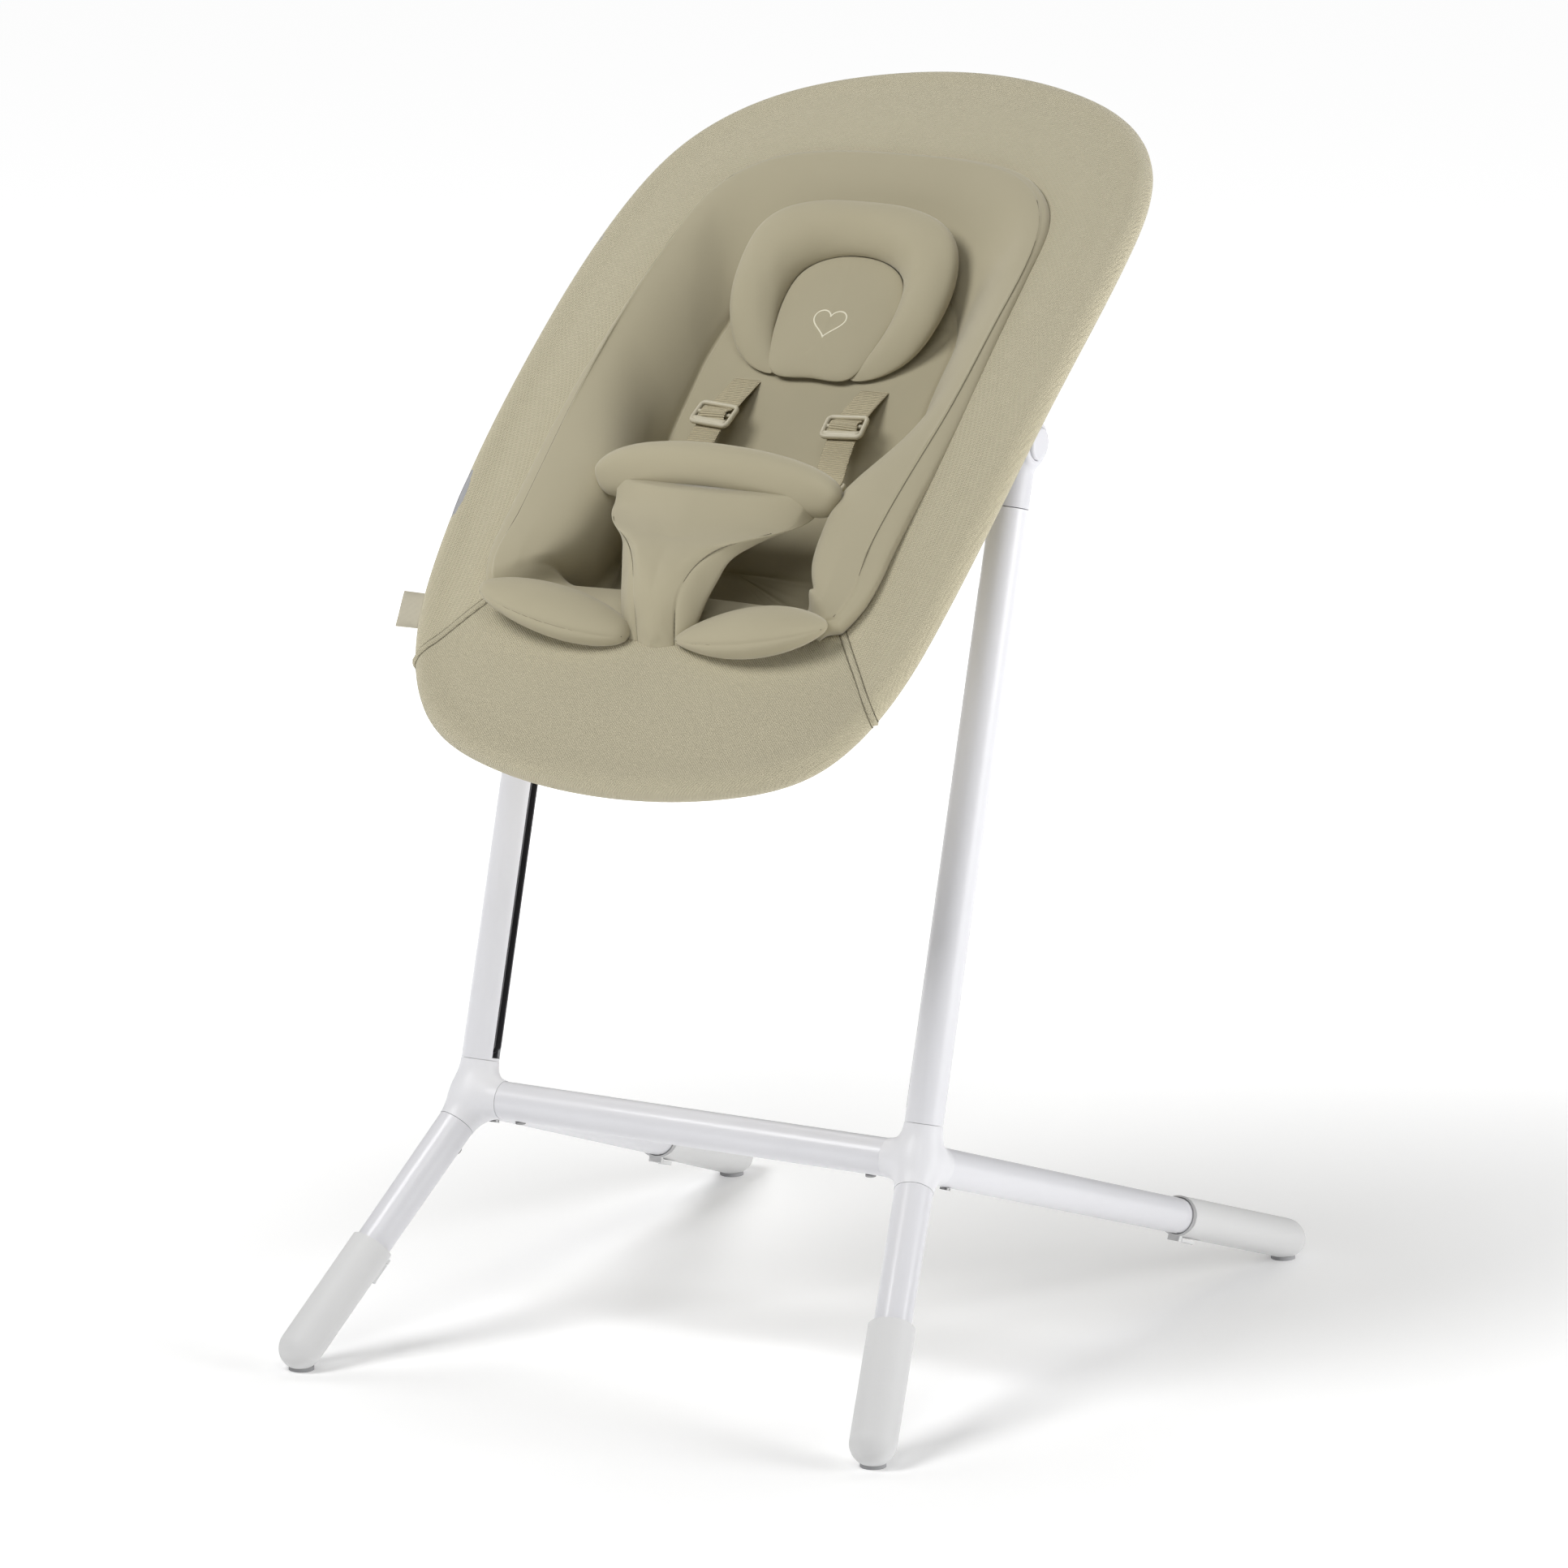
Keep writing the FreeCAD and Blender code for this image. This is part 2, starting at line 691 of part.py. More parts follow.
def ring_path(points, ends_along):
    """The tube's middle line on the bent surface, through a half outline and its mirror image."""
    inset = grown(points, -size("ring_inset"))
    open_half = [p for p in inset if p[0] > 0]
    top = [p for p in inset if p[0] <= 0]
    run = [(a, b) for a, b in open_half] + top + [(-a, b) for a, b in reversed(open_half)]
    path = [Vector(across, along, arch(along)) for across, along in run]
    curve = Part.BSplineCurve()
    leaving = Vector(0, ends_along, 0)
    curve.interpolate(Points=path, InitialTangent=leaving, FinalTangent=-leaving)
    return Part.Wire(curve.toShape())


def swept_rod(path, radius):
    start = path.Edges[0].valueAt(path.Edges[0].FirstParameter)
    section = Part.Wire(Part.makeCircle(radius, start, Vector(0, 1, 0)))
    return path.makePipeShell([section], True, False)


bow_split = size("pivot_along")
UPPER = [(RIM_SIDE, bow_split + 0.5)] + [p for p in RIM if p[1] > 500]
LOWER = [(RIM_SIDE, bow_split - 0.5)] + [p for p in reversed(RIM) if p[1] < 300]
bow_paths = {"upper": ring_path(UPPER, 1), "lower": ring_path(LOWER, -1)}


def make_ring_bows():
    """Two bent tubes that meet in the sockets of the side brackets."""
    for name, path in bow_paths.items():
        radius = size("ring_tube_radius")
        rod = code_shape(name + "_bow_rod", swept_rod(path, radius))
        hollow = code_shape(name + "_bow_hollow", swept_rod(path, radius - size("ring_tube_wall")))
        sub_part(cut(name + "_bow", rod, hollow), name + "_bow", seat_frame)


def make_bracket(side, sign):
    """Side plate on the pin, with an arm over the hub to the socket that joins the two bows."""
    node = side + "_bracket"
    inner = half_spacing - size("hub_half") - 2 * size("disc_thick") - size("disc_gap") - size("bracket_thick")
    along, above = size("pivot_along"), size("pivot_above")
    middle = arch(along)
    reach = RIM_SIDE - size("ring_inset")
    neck_start = along - size("neck_half")
    arm_bottom = middle - size("arm_drop")
    plate = cylinder(node + "_plate", "bracket_radius", "bracket_thick", along_x(inner, along, above))
    neck_place = at(inner, neck_start, above)
    neck = make("Part::Box", node + "_neck", neck_place, Length="bracket_thick", Width="2 * neck_half")
    neck.Height = arm_bottom + size("arm_thick") - above
    tail_start = at(inner, along, above - size("strut_drop"))
    tail = box(node + "_tail", "bracket_thick", "tail_width", "strut_drop", tail_start)
    arm_place = at(inner, neck_start, arm_bottom)
    arm = make("Part::Box", node + "_arm", arm_place, Width="2 * neck_half", Height="arm_thick")
    arm.Length = reach - inner
    turned = facing(Vector(reach, along - size("socket_half"), middle), Vector(0, 1, 0), Vector(1, 0, 0))
    socket = cylinder(node + "_socket", "socket_radius", "2 * socket_half", turned)
    socket_bore = cylinder(node + "_socket_bore", "ring_tube_radius + 0.3", "2 * socket_half", turned)
    pin_fit = "pin_radius + pin_clearance"
    pin_bore = cylinder(node + "_pin_bore", pin_fit, "6 * bracket_thick", along_x(inner - 10, along, above))
    body = cut(node + "_body", fuse(node + "_solid", plate, neck, tail, arm, socket), socket_bore, pin_bore)
    if sign > 0:
        sub_part(body, node, seat_frame)
        return
    twin = doc.addObject("Part::Mirroring", node + "_twin")
    twin.Source = body
    twin.Normal = Vector(1, 0, 0)
    sub_part(twin, node, seat_frame)


def make_strut():
    """Cross tube that makes both hubs turn together, behind the sling."""
    inner = half_spacing - size("hub_half") - 2 * size("disc_thick") - size("disc_gap") - size("bracket_thick")
    along = size("pivot_along") + size("tail_width") - 1
    above = size("pivot_above") - size("strut_drop") + 10
    place = along_x(-inner, along, above)
    rod = make("Part::Cylinder", "strut_outer", place, Radius="strut_radius")
    hollow = make("Part::Cylinder", "strut_inner", place, Radius="strut_radius - ring_tube_wall")
    rod.Height = 2 * inner
    hollow.Height = 2 * inner
    sub_part(cut("cross_strut", rod, hollow), "cross_strut", seat_frame)


# Cross-sections of the bucket: along, half width at the top edge, half width of the floor, floor height.
BUCKET = (
    (136, 118, 70, 24), (186, 150, 76, -26), (300, 156, 80, -20),
    (420, 156, 86, 4), (575, 138, 92, 8), (622, 96, 80, 36),
)


def bucket(name, grow):
    """The hollow of the bucket seat as a loft, its walls moved outwards by grow."""
    sections = []
    last = len(BUCKET) - 1
    for index, (along, edge, floor, level) in enumerate(BUCKET):
        rim = arch(along) + 18
        lift = 100.0
        slope = (edge - floor) / (rim - level) if rim - level > 20 else 1.0
        bottom = level - grow
        high = floor + grow + slope * lift
        shift = grow * ((index == last) - (index == 0))
        corners = [
            Vector(-high, along + shift, bottom + lift),
            Vector(-floor - grow, along + shift, bottom),
            Vector(floor + grow, along + shift, bottom),
            Vector(high, along + shift, bottom + lift),
        ]
        sections.append(Part.makePolygon(corners + corners[:1]))
    return code_shape(name, Part.makeLoft(sections, True, True))


def make_cover():
    """Outer cover drawn over the ring: a thick rim and a flat border, sewn to the front panel on two slanted seams."""
    low, high = -size("rim_half"), size("rim_half")
    whole = prism("border_plan", smooth_loop(mirrored(RIM)))
    opening = prism("border_opening", inlay_loop(0.6))
    rim_inside = prism("rim_inside", smooth_loop(mirrored(grown(RIM, -26))))
    slab = common("border_slab", whole, layer("border_layer", low, high))
    undercut = common("border_undercut", rim_inside, layer("undercut_layer", low - 1, size("band_bottom")))
    channels = [
        code_shape(f"cover_channel_{name}", swept_rod(path, size("ring_tube_radius") + 0.3))
        for name, path in bow_paths.items()
    ]
    notches = []
    for side, sign in SIDES:
        notch = box(f"cover_notch_{side}", "45", "2 * socket_half + 3", "2 * rim_half + 3")
        socket = RIM_SIDE - size("ring_inset")
        start = socket - 20 if sign > 0 else -(socket + 25)
        bottom = arch(size("pivot_along")) - size("rim_half") - 2
        notch.Placement = at(start, size("pivot_along") - size("socket_half") - 1.5, bottom)
        notches.append(notch)
    border = cut("border", slab, opening, undercut, *channels, *notches)
    corners = ((-260, -20), (260, -20), (260, 15), (156, 142), (-156, 142), (-260, 15))
    loop = [Vector(across, along, 0) for across, along in corners]
    wedge_face = Part.Face(Part.makePolygon(loop + loop[:1]))
    cover_wedge = prism("cover_wedge", wedge_face)
    panel_wedge = prism("panel_wedge", wedge_face)
    sub_part(cut("seat_cover", border, cover_wedge), "seat_cover", seat_frame)
    sub_part(common("front_panel", border, panel_wedge), "front_panel", seat_frame)


def make_sling():
    """Hammock under the baby: a bucket of strong fabric with a flange that hangs from the border."""
    flange_plan = prism("sling_flange_plan", smooth_loop(mirrored(grown(RIM, -28))))
    flange = common("sling_flange", flange_plan, layer("sling_flange_layer", -0.5, 2.7))
    below = drum("sling_below", 2.7)
    skin = common("sling_skin", bucket("sling_outside", size("inlay_thick") + 0.3 + size("sling_thick")), below)
    inside = bucket("sling_inside", size("inlay_thick") + 0.3)
    sub_part(cut("seat_sling", fuse("sling_whole", flange, skin), inside), "seat_sling", seat_frame)


def make_inlay():
    """Padded inlay: a bowl with thick sloping walls, cut lower where the leg bolsters lie."""
    plan = prism("inlay_plan", inlay_loop())
    outside = common("inlay_outside", bucket("inlay_bowl", size("inlay_thick")), drum("inlay_skin", size("inlay_top")))
    body = common("inlay_body", outside, plan)
    hollow = bucket("inlay_hollow", 0.0)
    bolster_room = box("bolster_room", "400", "74", "80", at(-200, 100, 37))
    pillow_room = prism("pillow_room", smooth_loop(mirrored(grown(PILLOW, 0.6, 490))), -22.0)
    upper = layer("pillow_layer", -30.0, 60.0)
    recess = common("pillow_recess", pillow_room, upper)
    crotch_room = box("crotch_room", "92", "85", "80", at(-46, 90, 20))
    sub_part(cut("body_inlay", body, hollow, bolster_room, crotch_room, recess), "body_inlay", seat_frame)


def make_head_support():
    """Horseshoe pillow with a flat pad in its middle."""
    ring_plan = prism("pillow_plan", smooth_loop(mirrored(PILLOW)))
    pad_plan = prism("head_pad_plan", smooth_loop(mirrored(HEAD_PAD)))
    pad_room = prism("head_pad_room", smooth_loop(mirrored(grown(HEAD_PAD, 0.5, 472))))
    mouth = box("pillow_mouth", "70", "40", "400", at(-35, 390, -120))
    block = common("pillow_block", ring_plan, layer("pillow_thickness", -29.5, 14.0))
    sub_part(cut("head_pillow", block, pad_room, mouth), "head_pillow", seat_frame)
    sub_part(common("head_pad", pad_plan, layer("head_pad_thickness", -29.5, -12.0)), "head_pad", seat_frame)


def make_bolster(side, sign):
    """Lens-shaped pad under one thigh."""
    along = size("bolster_along")
    lens = make(
        "Part::Ellipsoid",
        side + "_bolster_lens",
        at(),
        Radius1="bolster_tall",
        Radius2="bolster_long",
        Radius3="bolster_wide",
    )
    lens.Angle1 = -90
    lens.Angle2 = 90
    lean = FreeCAD.Rotation(Vector(0, 1, 0), -sign * size("bolster_lean"))
    middle = Vector(sign * size("bolster_across"), along, arch(along) + size("bolster_above"))
    centre = FreeCAD.Placement(middle, lean)
    sub_part(lens, side + "_leg_bolster", seat_frame.multiply(centre))


def webbing_section(across, along, above, rise, width):
    """Cross-section of a strap at one point; rise is the slope of the strap along the seat."""
    level = arch(along, above)
    half = width / 2
    thick = size("webbing_thick")
    back, up = -rise * thick, thick
    corners = [
        Vector(across - half, along, level),
        Vector(across + half, along, level),
        Vector(across + half, along + back, level + up),
        Vector(across - half, along + back, level + up),
    ]
    return Part.makePolygon(corners + corners[:1])


# Middle line of the right shoulder strap: across, along, above the bent surface, and the strap's own rise.
STRAP_ROUTE = (
    (58.0, 410.0, -33.0, 0.3), (60.0, 366.0, -22.0, 0.3), (70.0, 322.0, -12.0, 0.3), (84.0, 300.0, -3.0, 0.4),
)
# Across, along, above and tilt of the fittings on it.
ADJUSTER_PLACE = (60.0, 364.0, -19.0, -14.0)
CLIP_PLACE = (85.0, 283.0, -5.0, -22.0)


def fitting_place(sign, across, along, above, lean):
    turn = FreeCAD.Rotation(Vector(1, 0, 0), lean)
    return FreeCAD.Placement(Vector(sign * across, along, arch(along, above)), turn)


def make_shoulder_harness(side, sign):
    """Strap from its slot in the back, through its adjuster, to the clip behind the bumper."""
    width = size("webbing_width")
    half = width / 2 + size("adjuster_rim")
    slot = size("adjuster_slot")
    sections = [
        webbing_section(sign * across, along, above, -rise, width) for across, along, above, rise in STRAP_ROUTE
    ]
    strap = code_shape(side + "_strap_loft", Part.makeLoft(sections, True, True))
    sub_part(strap, side + "_shoulder_strap", seat_frame)
    frame = box(
        side + "_adjuster_frame",
        "webbing_width + 2 * adjuster_rim",
        "adjuster_length",
        "adjuster_thick",
        at(-half, -size("adjuster_length") / 2, 0),
    )
    slots = []
    for start in (2, -2 - slot):
        place = at(-width / 2 - 0.5, start, -1)
        name = f"{side}_adjuster_slot_{len(slots)}"
        slots.append(box(name, "webbing_width + 1", "adjuster_slot", "adjuster_thick + 2", place))
    adjuster_place = seat_frame.multiply(fitting_place(sign, *ADJUSTER_PLACE))
    sub_part(cut(side + "_adjuster", frame, *slots), side + "_strap_adjuster", adjuster_place)
    clip = box(side + "_clip", "webbing_width + 1", "clip_length", "clip_thick", at(-width / 2 - 0.5, -4, 0))
    sub_part(clip, side + "_strap_clip", seat_frame.multiply(fitting_place(sign, *CLIP_PLACE)))


def make_label():
    """Blank fabric tab sewn into the rim on the left."""
    start, along = -246.5, 128.0
    place = seat_frame.multiply(at(start, along, arch(along + 12) - size("label_thick") / 2))
    sub_part(box("label_box", "label_width", "label_length", "label_thick"), "label_tab", place)


# ---------------------------------------------------------------- harness front
# X across, Y and Z as in the row frame, origin on the hinge line.

harness_frame = at(0, size("harness_back"), size("harness_height"))
# Height, half width, how far back the front surface lies at the middle and at the edge.
CROTCH = ((7.0, 25.0, 1.0, 2.0), (43.0, 40.0, 11.0, 16.0), (74.0, 52.0, 24.0, 38.0), (96.5, 84.0, 40.0, 76.0))


def make_crotch_pad():
    """T-shaped pad that rises from between the legs and wraps round the belly."""
    thick = Vector(0, size("crotch_thick"), 0)
    sections = []
    for level, half, middle, edge in CROTCH:
        left, centre, right = Vector(-half, edge, level), Vector(0, middle, level), Vector(half, edge, level)
        front = Part.Arc(left, centre, right).toShape()
        back = Part.Arc(left + thick, centre + thick, right + thick).toShape()
        ends = [Part.makeLine(right, right + thick), Part.makeLine(left + thick, left)]
        sections.append(Part.Wire(Part.__sortEdges__([front, ends[0], back, ends[1]])))
    sub_part(code_shape("crotch_loft", Part.makeLoft(sections, True, True)), "crotch_pad", harness_frame)


def make_bumper():
    """Lap bar cushion: an oval bar bent round the belly, its ends lower than its middle."""
    right, middle, left = Vector(98, 106, 113), Vector(0, 91, 129), Vector(-98, 106, 113)
    path = Part.Wire(Part.Arc(left, middle, right).toShape())
    oval = Part.Ellipse(Vector(0, 0, 0), size("bumper_tall"), size("bumper_deep")).toShape()
    section = Part.Wire(oval)
    start = path.Edges[0]
    tangent = start.tangentAt(start.FirstParameter)
    section.Placement = facing(start.valueAt(start.FirstParameter), tangent, Vector(0, 0, 1))
    bar = path.makePipeShell([section], True, False)
    sub_part(code_shape("bumper_bar", bar), "lap_bumper", harness_frame)


def make_harness_tongue():
    """Plastic tongue that ties the crotch pad to the bumper."""
    back, bottom = 58.0, 97.5
    tongue = box("harness_tongue", "tongue_wide", "tongue_deep", "tongue_tall")
    sub_part(tongue, "harness_tongue", harness_frame.multiply(at(-size("tongue_wide") / 2, back, bottom)))


make_crossbar()
for side, sign in SIDES:
    make_node(side, sign)
    make_post(side, sign)
    make_post_channel(side, sign)
    for end in ("front", "rear"):
        make_leg(side, sign, end)
        make_foot(side, sign, end)
    make_adapter(side, sign)
    make_hub_parts(side, sign)
    make_bracket(side, sign)
    make_bolster(side, sign)
    make_shoulder_harness(side, sign)
make_bolts()
make_bushes()
make_ring_bows()
make_strut()
make_cover()
make_sling()
make_inlay()
make_head_support()
make_label()
make_crotch_pad()
make_bumper()
make_harness_tongue()

doc.recompute()
for obj in doc.Objects:
    if "Invalid" in obj.State or "Error" in obj.State:
        raise RuntimeError(f"{obj.Label} did not recompute: {obj.State}")
for obj in sub_parts:
    if obj.Shape.isNull() or not obj.Shape.isValid():
        raise RuntimeError(f"{obj.Label} has no valid shape")
    if not obj.Shape.Solids:
        raise RuntimeError(f"{obj.Label} has no solid")

os.makedirs("parts", exist_ok=True)
for obj in sub_parts:
    obj.Shape.exportStep(f"parts/{obj.Label}.step")
    print(f"{obj.Label:28s} {len(obj.Shape.Solids):2d} solids {obj.Shape.Volume / 1000:9.2f} cm3")
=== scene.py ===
import json
import math

import bmesh
import bpy
import numpy as np
from mathutils import Matrix, Vector
from mathutils.bvhtree import BVHTree


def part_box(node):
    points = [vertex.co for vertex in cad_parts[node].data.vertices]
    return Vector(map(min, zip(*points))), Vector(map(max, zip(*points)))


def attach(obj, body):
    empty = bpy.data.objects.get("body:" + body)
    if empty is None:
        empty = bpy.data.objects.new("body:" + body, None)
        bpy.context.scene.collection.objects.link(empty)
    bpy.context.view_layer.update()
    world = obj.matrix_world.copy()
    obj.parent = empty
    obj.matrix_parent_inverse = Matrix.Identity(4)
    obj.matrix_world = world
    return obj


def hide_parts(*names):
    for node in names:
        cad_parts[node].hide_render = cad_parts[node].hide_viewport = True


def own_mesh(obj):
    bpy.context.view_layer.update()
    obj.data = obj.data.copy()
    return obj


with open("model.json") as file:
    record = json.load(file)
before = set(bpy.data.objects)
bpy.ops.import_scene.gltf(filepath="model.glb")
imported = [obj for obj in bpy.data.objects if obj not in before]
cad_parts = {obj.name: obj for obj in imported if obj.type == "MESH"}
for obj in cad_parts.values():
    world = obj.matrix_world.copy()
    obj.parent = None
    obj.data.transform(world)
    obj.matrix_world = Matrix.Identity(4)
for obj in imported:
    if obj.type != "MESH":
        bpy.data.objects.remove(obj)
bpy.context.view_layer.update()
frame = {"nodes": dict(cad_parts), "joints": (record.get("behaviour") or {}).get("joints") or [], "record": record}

# The looks of the newborn bouncer seat. Shapes are worked out in millimetres in the seat's own frame
# (x across, y up the chord of the bent ring from its foot end, z out of the seat towards the baby)
# or in the harness's frame, and are put in the row frame in metres when their mesh is made.

MM = 0.001
SIDES = (("left", -1), ("right", 1))
joints = {joint["name"]: joint for joint in frame["joints"]}

# ---------------------------------------------------------------- the seat's own frame
SEAT_ANGLE = math.radians(39.05)
PIVOT = Vector((0.0, 376.0, 10.1))
BEND_RADIUS = 1763.5
CHORD_MIDDLE = 378.5
BEND_DEPTH = math.sqrt(BEND_RADIUS**2 - CHORD_MIDDLE**2)
pivot_world = Vector(joints["recline"]["pos_m"])
SEAT = Matrix.Translation(pivot_world) @ Matrix.Rotation(SEAT_ANGLE, 4, "X") @ Matrix.Translation(-MM * PIVOT)
HARNESS = Matrix.Translation(Vector(joints["harness_opens"]["pos_m"]))
ROW = Matrix.Identity(4)

# Half outlines (across, along), from the foot end to the head end.
RIM = (
    (0, 0), (105, 12), (170, 41), (204, 90), (224, 180), (232, 395), (227, 560), (208, 645), (167, 701),
    (97, 740), (0, 757),
)
INLAY = (
    (157, 148), (166, 168), (171, 214), (173, 370), (168, 458), (163, 528), (150, 583), (121, 616), (80, 634),
    (0, 640),
)
INLAY_FRONT = 122.0
CREASE = (
    (114, 187), (103, 206), (104, 240), (109, 290), (109, 345), (106, 405), (104, 460), (90, 500), (52, 521),
    (0, 526),
)
CREASE_FRONT = 196.0
PILLOW = ((0, 416), (48, 418), (78, 438), (95, 475), (97, 510), (86, 542), (55, 560), (0, 566))
HEAD_PAD = ((0, 414), (34, 416), (48, 452), (52, 485), (45, 512), (25, 526), (0, 530))
RIM_HALF = 11.0
RIM_COUNT = 1440
HEAD_COUNT = 340
FRONT_COUNT = 110
# The line that parts the cover from its front panel, on the right side.
SPLIT_CORNER, SPLIT_BEYOND = np.array([156.0, 146.0]), np.array([260.0, 15.0])


def arch(along, above=0.0):
    """Height over the chord of a point on the bent surface or parallel to it."""
    return np.sqrt((BEND_RADIUS + above) ** 2 - (np.asarray(along, float) - CHORD_MIDDLE) ** 2) - BEND_DEPTH


def raised(plan, above):
    """Points over plan positions, at heights above the bent surface."""
    plan = np.asarray(plan, float)
    return np.dstack([plan[..., 0], plan[..., 1], arch(plan[..., 1]) + above]).reshape(plan.shape[:-1] + (3,))


def mirrored(half):
    """A closed outline from its right half, foot end first, without repeating points on the mirror line."""
    return list(half) + [(-across, along) for across, along in reversed(half) if across > 0]


def cubic(points, count, closed=False):
    """Evenly spaced points along the smooth curve through the given ones."""
    points = np.asarray(points, float)
    if closed:
        points = np.vstack([points, points[:1]])
    steps = np.linalg.norm(np.diff(points, axis=0), axis=1)
    reach = np.concatenate([[0.0], np.cumsum(steps)])
    last = len(points) - 1
    matrix = np.zeros((last + 1, last + 1))
    target = np.zeros_like(points)
    slopes = np.diff(points, axis=0) / steps[:, None]
    for i in range(1, last):
        matrix[i, i - 1 : i + 2] = steps[i - 1], 2 * (steps[i - 1] + steps[i]), steps[i]
        target[i] = 6 * (slopes[i] - slopes[i - 1])
    if closed:
        matrix[0, 0], matrix[0, last] = 1, -1
        matrix[last, 0] = matrix[last, last] = 0
        matrix[last, 1], matrix[last, last - 1] = steps[0], steps[-1]
        matrix[last, 0], matrix[last, last] = 2 * steps[0], 2 * steps[-1]
        target[last] = 6 * (slopes[0] - slopes[-1])
    else:
        matrix[0, 0] = matrix[last, last] = 1
    bend = np.linalg.solve(matrix, target)
    fine = np.linspace(0, reach[-1], 12 * count)
    k = np.clip(np.searchsorted(reach, fine, "right") - 1, 0, last - 1)
    b = ((fine - reach[k]) / steps[k])[:, None]
    a = 1 - b
    curve = a * points[k] + b * points[k + 1]
    curve += ((a**3 - a) * bend[k] + (b**3 - b) * bend[k + 1]) * (steps[k, None] ** 2) / 6
    return resample(curve, count, closed)


def resample(curve, count, closed=False):
    """The same curve with evenly spaced points."""
    steps = np.linalg.norm(np.diff(curve, axis=0), axis=1)
    reach = np.concatenate([[0.0], np.cumsum(steps)])
    places = np.linspace(0, reach[-1], count, endpoint=not closed)
    return np.stack([np.interp(places, reach, curve[:, i]) for i in range(curve.shape[1])], axis=1)


def table(stations, values, at):
    """A smooth function through a few values, flat beyond its ends."""
    stations, values = np.asarray(stations, float), np.asarray(values, float)
    slopes = np.gradient(values, stations)
    at = np.clip(at, stations[0], stations[-1])
    k = np.clip(np.searchsorted(stations, at, "right") - 1, 0, len(stations) - 2)
    width = stations[k + 1] - stations[k]
    f = (at - stations[k]) / width
    rise = values[k + 1] - values[k]
    return (
        values[k] + rise * (3 * f**2 - 2 * f**3)
        + width * (slopes[k] * (f - 2 * f**2 + f**3) + slopes[k + 1] * (f**3 - f**2))
    )


def smooth(value, low, high):
    """0 below low, 1 above high and a smooth step between."""
    f = np.clip((np.asarray(value, float) - low) / (high - low), 0, 1)
    return f * f * (3 - 2 * f)


def unit(rows, least=0.0):
    """Rows of vectors at length 1."""
    return rows / np.maximum(np.linalg.norm(rows, axis=1)[:, None], least)


def circle(count):
    """Cosines and sines of evenly spaced angles."""
    angles = [2 * math.pi * k / count for k in range(count)]
    return [(math.cos(angle), math.sin(angle)) for angle in angles]


def squarer(value, power):
    """A cosine or sine pushed outwards, so that a circle turns towards a square."""
    return math.copysign(abs(value) ** power, value)


def inward(curve, closed=True):
    """Unit normals of a plan curve, to the left of its direction."""
    if closed:
        step = np.roll(curve, -1, axis=0) - np.roll(curve, 1, axis=0)
    else:
        step = np.gradient(curve, axis=0)
    step = unit(step)
    return np.stack([-step[:, 1], step[:, 0]], axis=1)


# ---------------------------------------------------------------- meshes
def in_row(points, home):
    """Millimetres in a frame of the object to metres in the row frame."""
    flat = np.asarray(points, float).reshape(-1, 3) * MM
    turn = np.array(home)
    return flat @ turn[:3, :3].T + turn[:3, 3]


DOUBLE = 0.00002


def as_object(name, mesh_data):
    """The mesh as a smooth object of the scene."""
    mesh = bpy.data.meshes.new(name)
    mesh_data.to_mesh(mesh)
    mesh_data.free()
    mesh.polygons.foreach_set("use_smooth", [True] * len(mesh.polygons))
    piece = bpy.data.objects.new(name, mesh)
    bpy.context.scene.collection.objects.link(piece)
    return piece


def skin(name, rings, material, home=SEAT, close=False, caps=False):
    """A skin over closed rings of points; close joins the last ring to the first, caps fills both ends."""
    rings = np.asarray(rings, float)
    count, around = rings.shape[:2]
    data = bmesh.new()
    verts = [data.verts.new(point) for point in in_row(rings, home)]
    for i in range(count if close else count - 1):
        for j in range(around):
            k, m = (i + 1) % count, (j + 1) % around
            corners = (i * around + j, i * around + m, k * around + m, k * around + j)
            data.faces.new([verts[corner] for corner in corners])
    if caps and not close:
        data.faces.new(verts[:around][::-1])
        data.faces.new(verts[-around:])
    bmesh.ops.remove_doubles(data, verts=data.verts, dist=DOUBLE)
    bmesh.ops.recalc_face_normals(data, faces=data.faces)
    piece = as_object(name, data)
    piece.data.materials.append(material)
    return piece


def positions(mesh):
    """A mesh's points as an array."""
    points = np.empty(len(mesh.vertices) * 3)
    mesh.vertices.foreach_get("co", points)
    return points.reshape(-1, 3)


def inflate(piece, pressure, cap, frames=18):
    """Lets a closed skin swell as sewn cloth does, no point further than cap (mm) from where it was cut."""
    scene = bpy.context.scene
    cut = positions(piece.data)
    cloth = piece.modifiers.new("Cloth", "CLOTH")
    cloth.settings.use_pressure = True
    cloth.settings.uniform_pressure_force = pressure
    cloth.settings.effector_weights.gravity = 0
    cloth.settings.quality = 4
    cloth.settings.mass = 0.2
    cloth.settings.bending_stiffness = 0.6
    cloth.point_cache.frame_start = 1
    cloth.point_cache.frame_end = frames
    for step in range(1, frames + 1):
        scene.frame_set(step)
    graph = bpy.context.evaluated_depsgraph_get()
    swollen = positions(piece.evaluated_get(graph).data)
    piece.modifiers.remove(cloth)
    scene.frame_set(1)
    move = swollen - cut
    length = np.linalg.norm(move, axis=1)
    limit = cap * MM
    scale = limit * np.tanh(length / limit) / np.maximum(length, 1e-9)
    piece.data.vertices.foreach_set("co", (cut + move * scale[:, None]).ravel())
    piece.data.update()


# Cross-section of a sewn line: across, as a share of half its width, and height over the cloth in mm.
THREAD_SECTION = ((1, 0), (0.6, 0.22), (-0.6, 0.22), (-1, 0), (-0.6, -0.3), (0.6, -0.3))
THREAD_WIDTH = 0.9
THREAD_SMOOTHING = 12


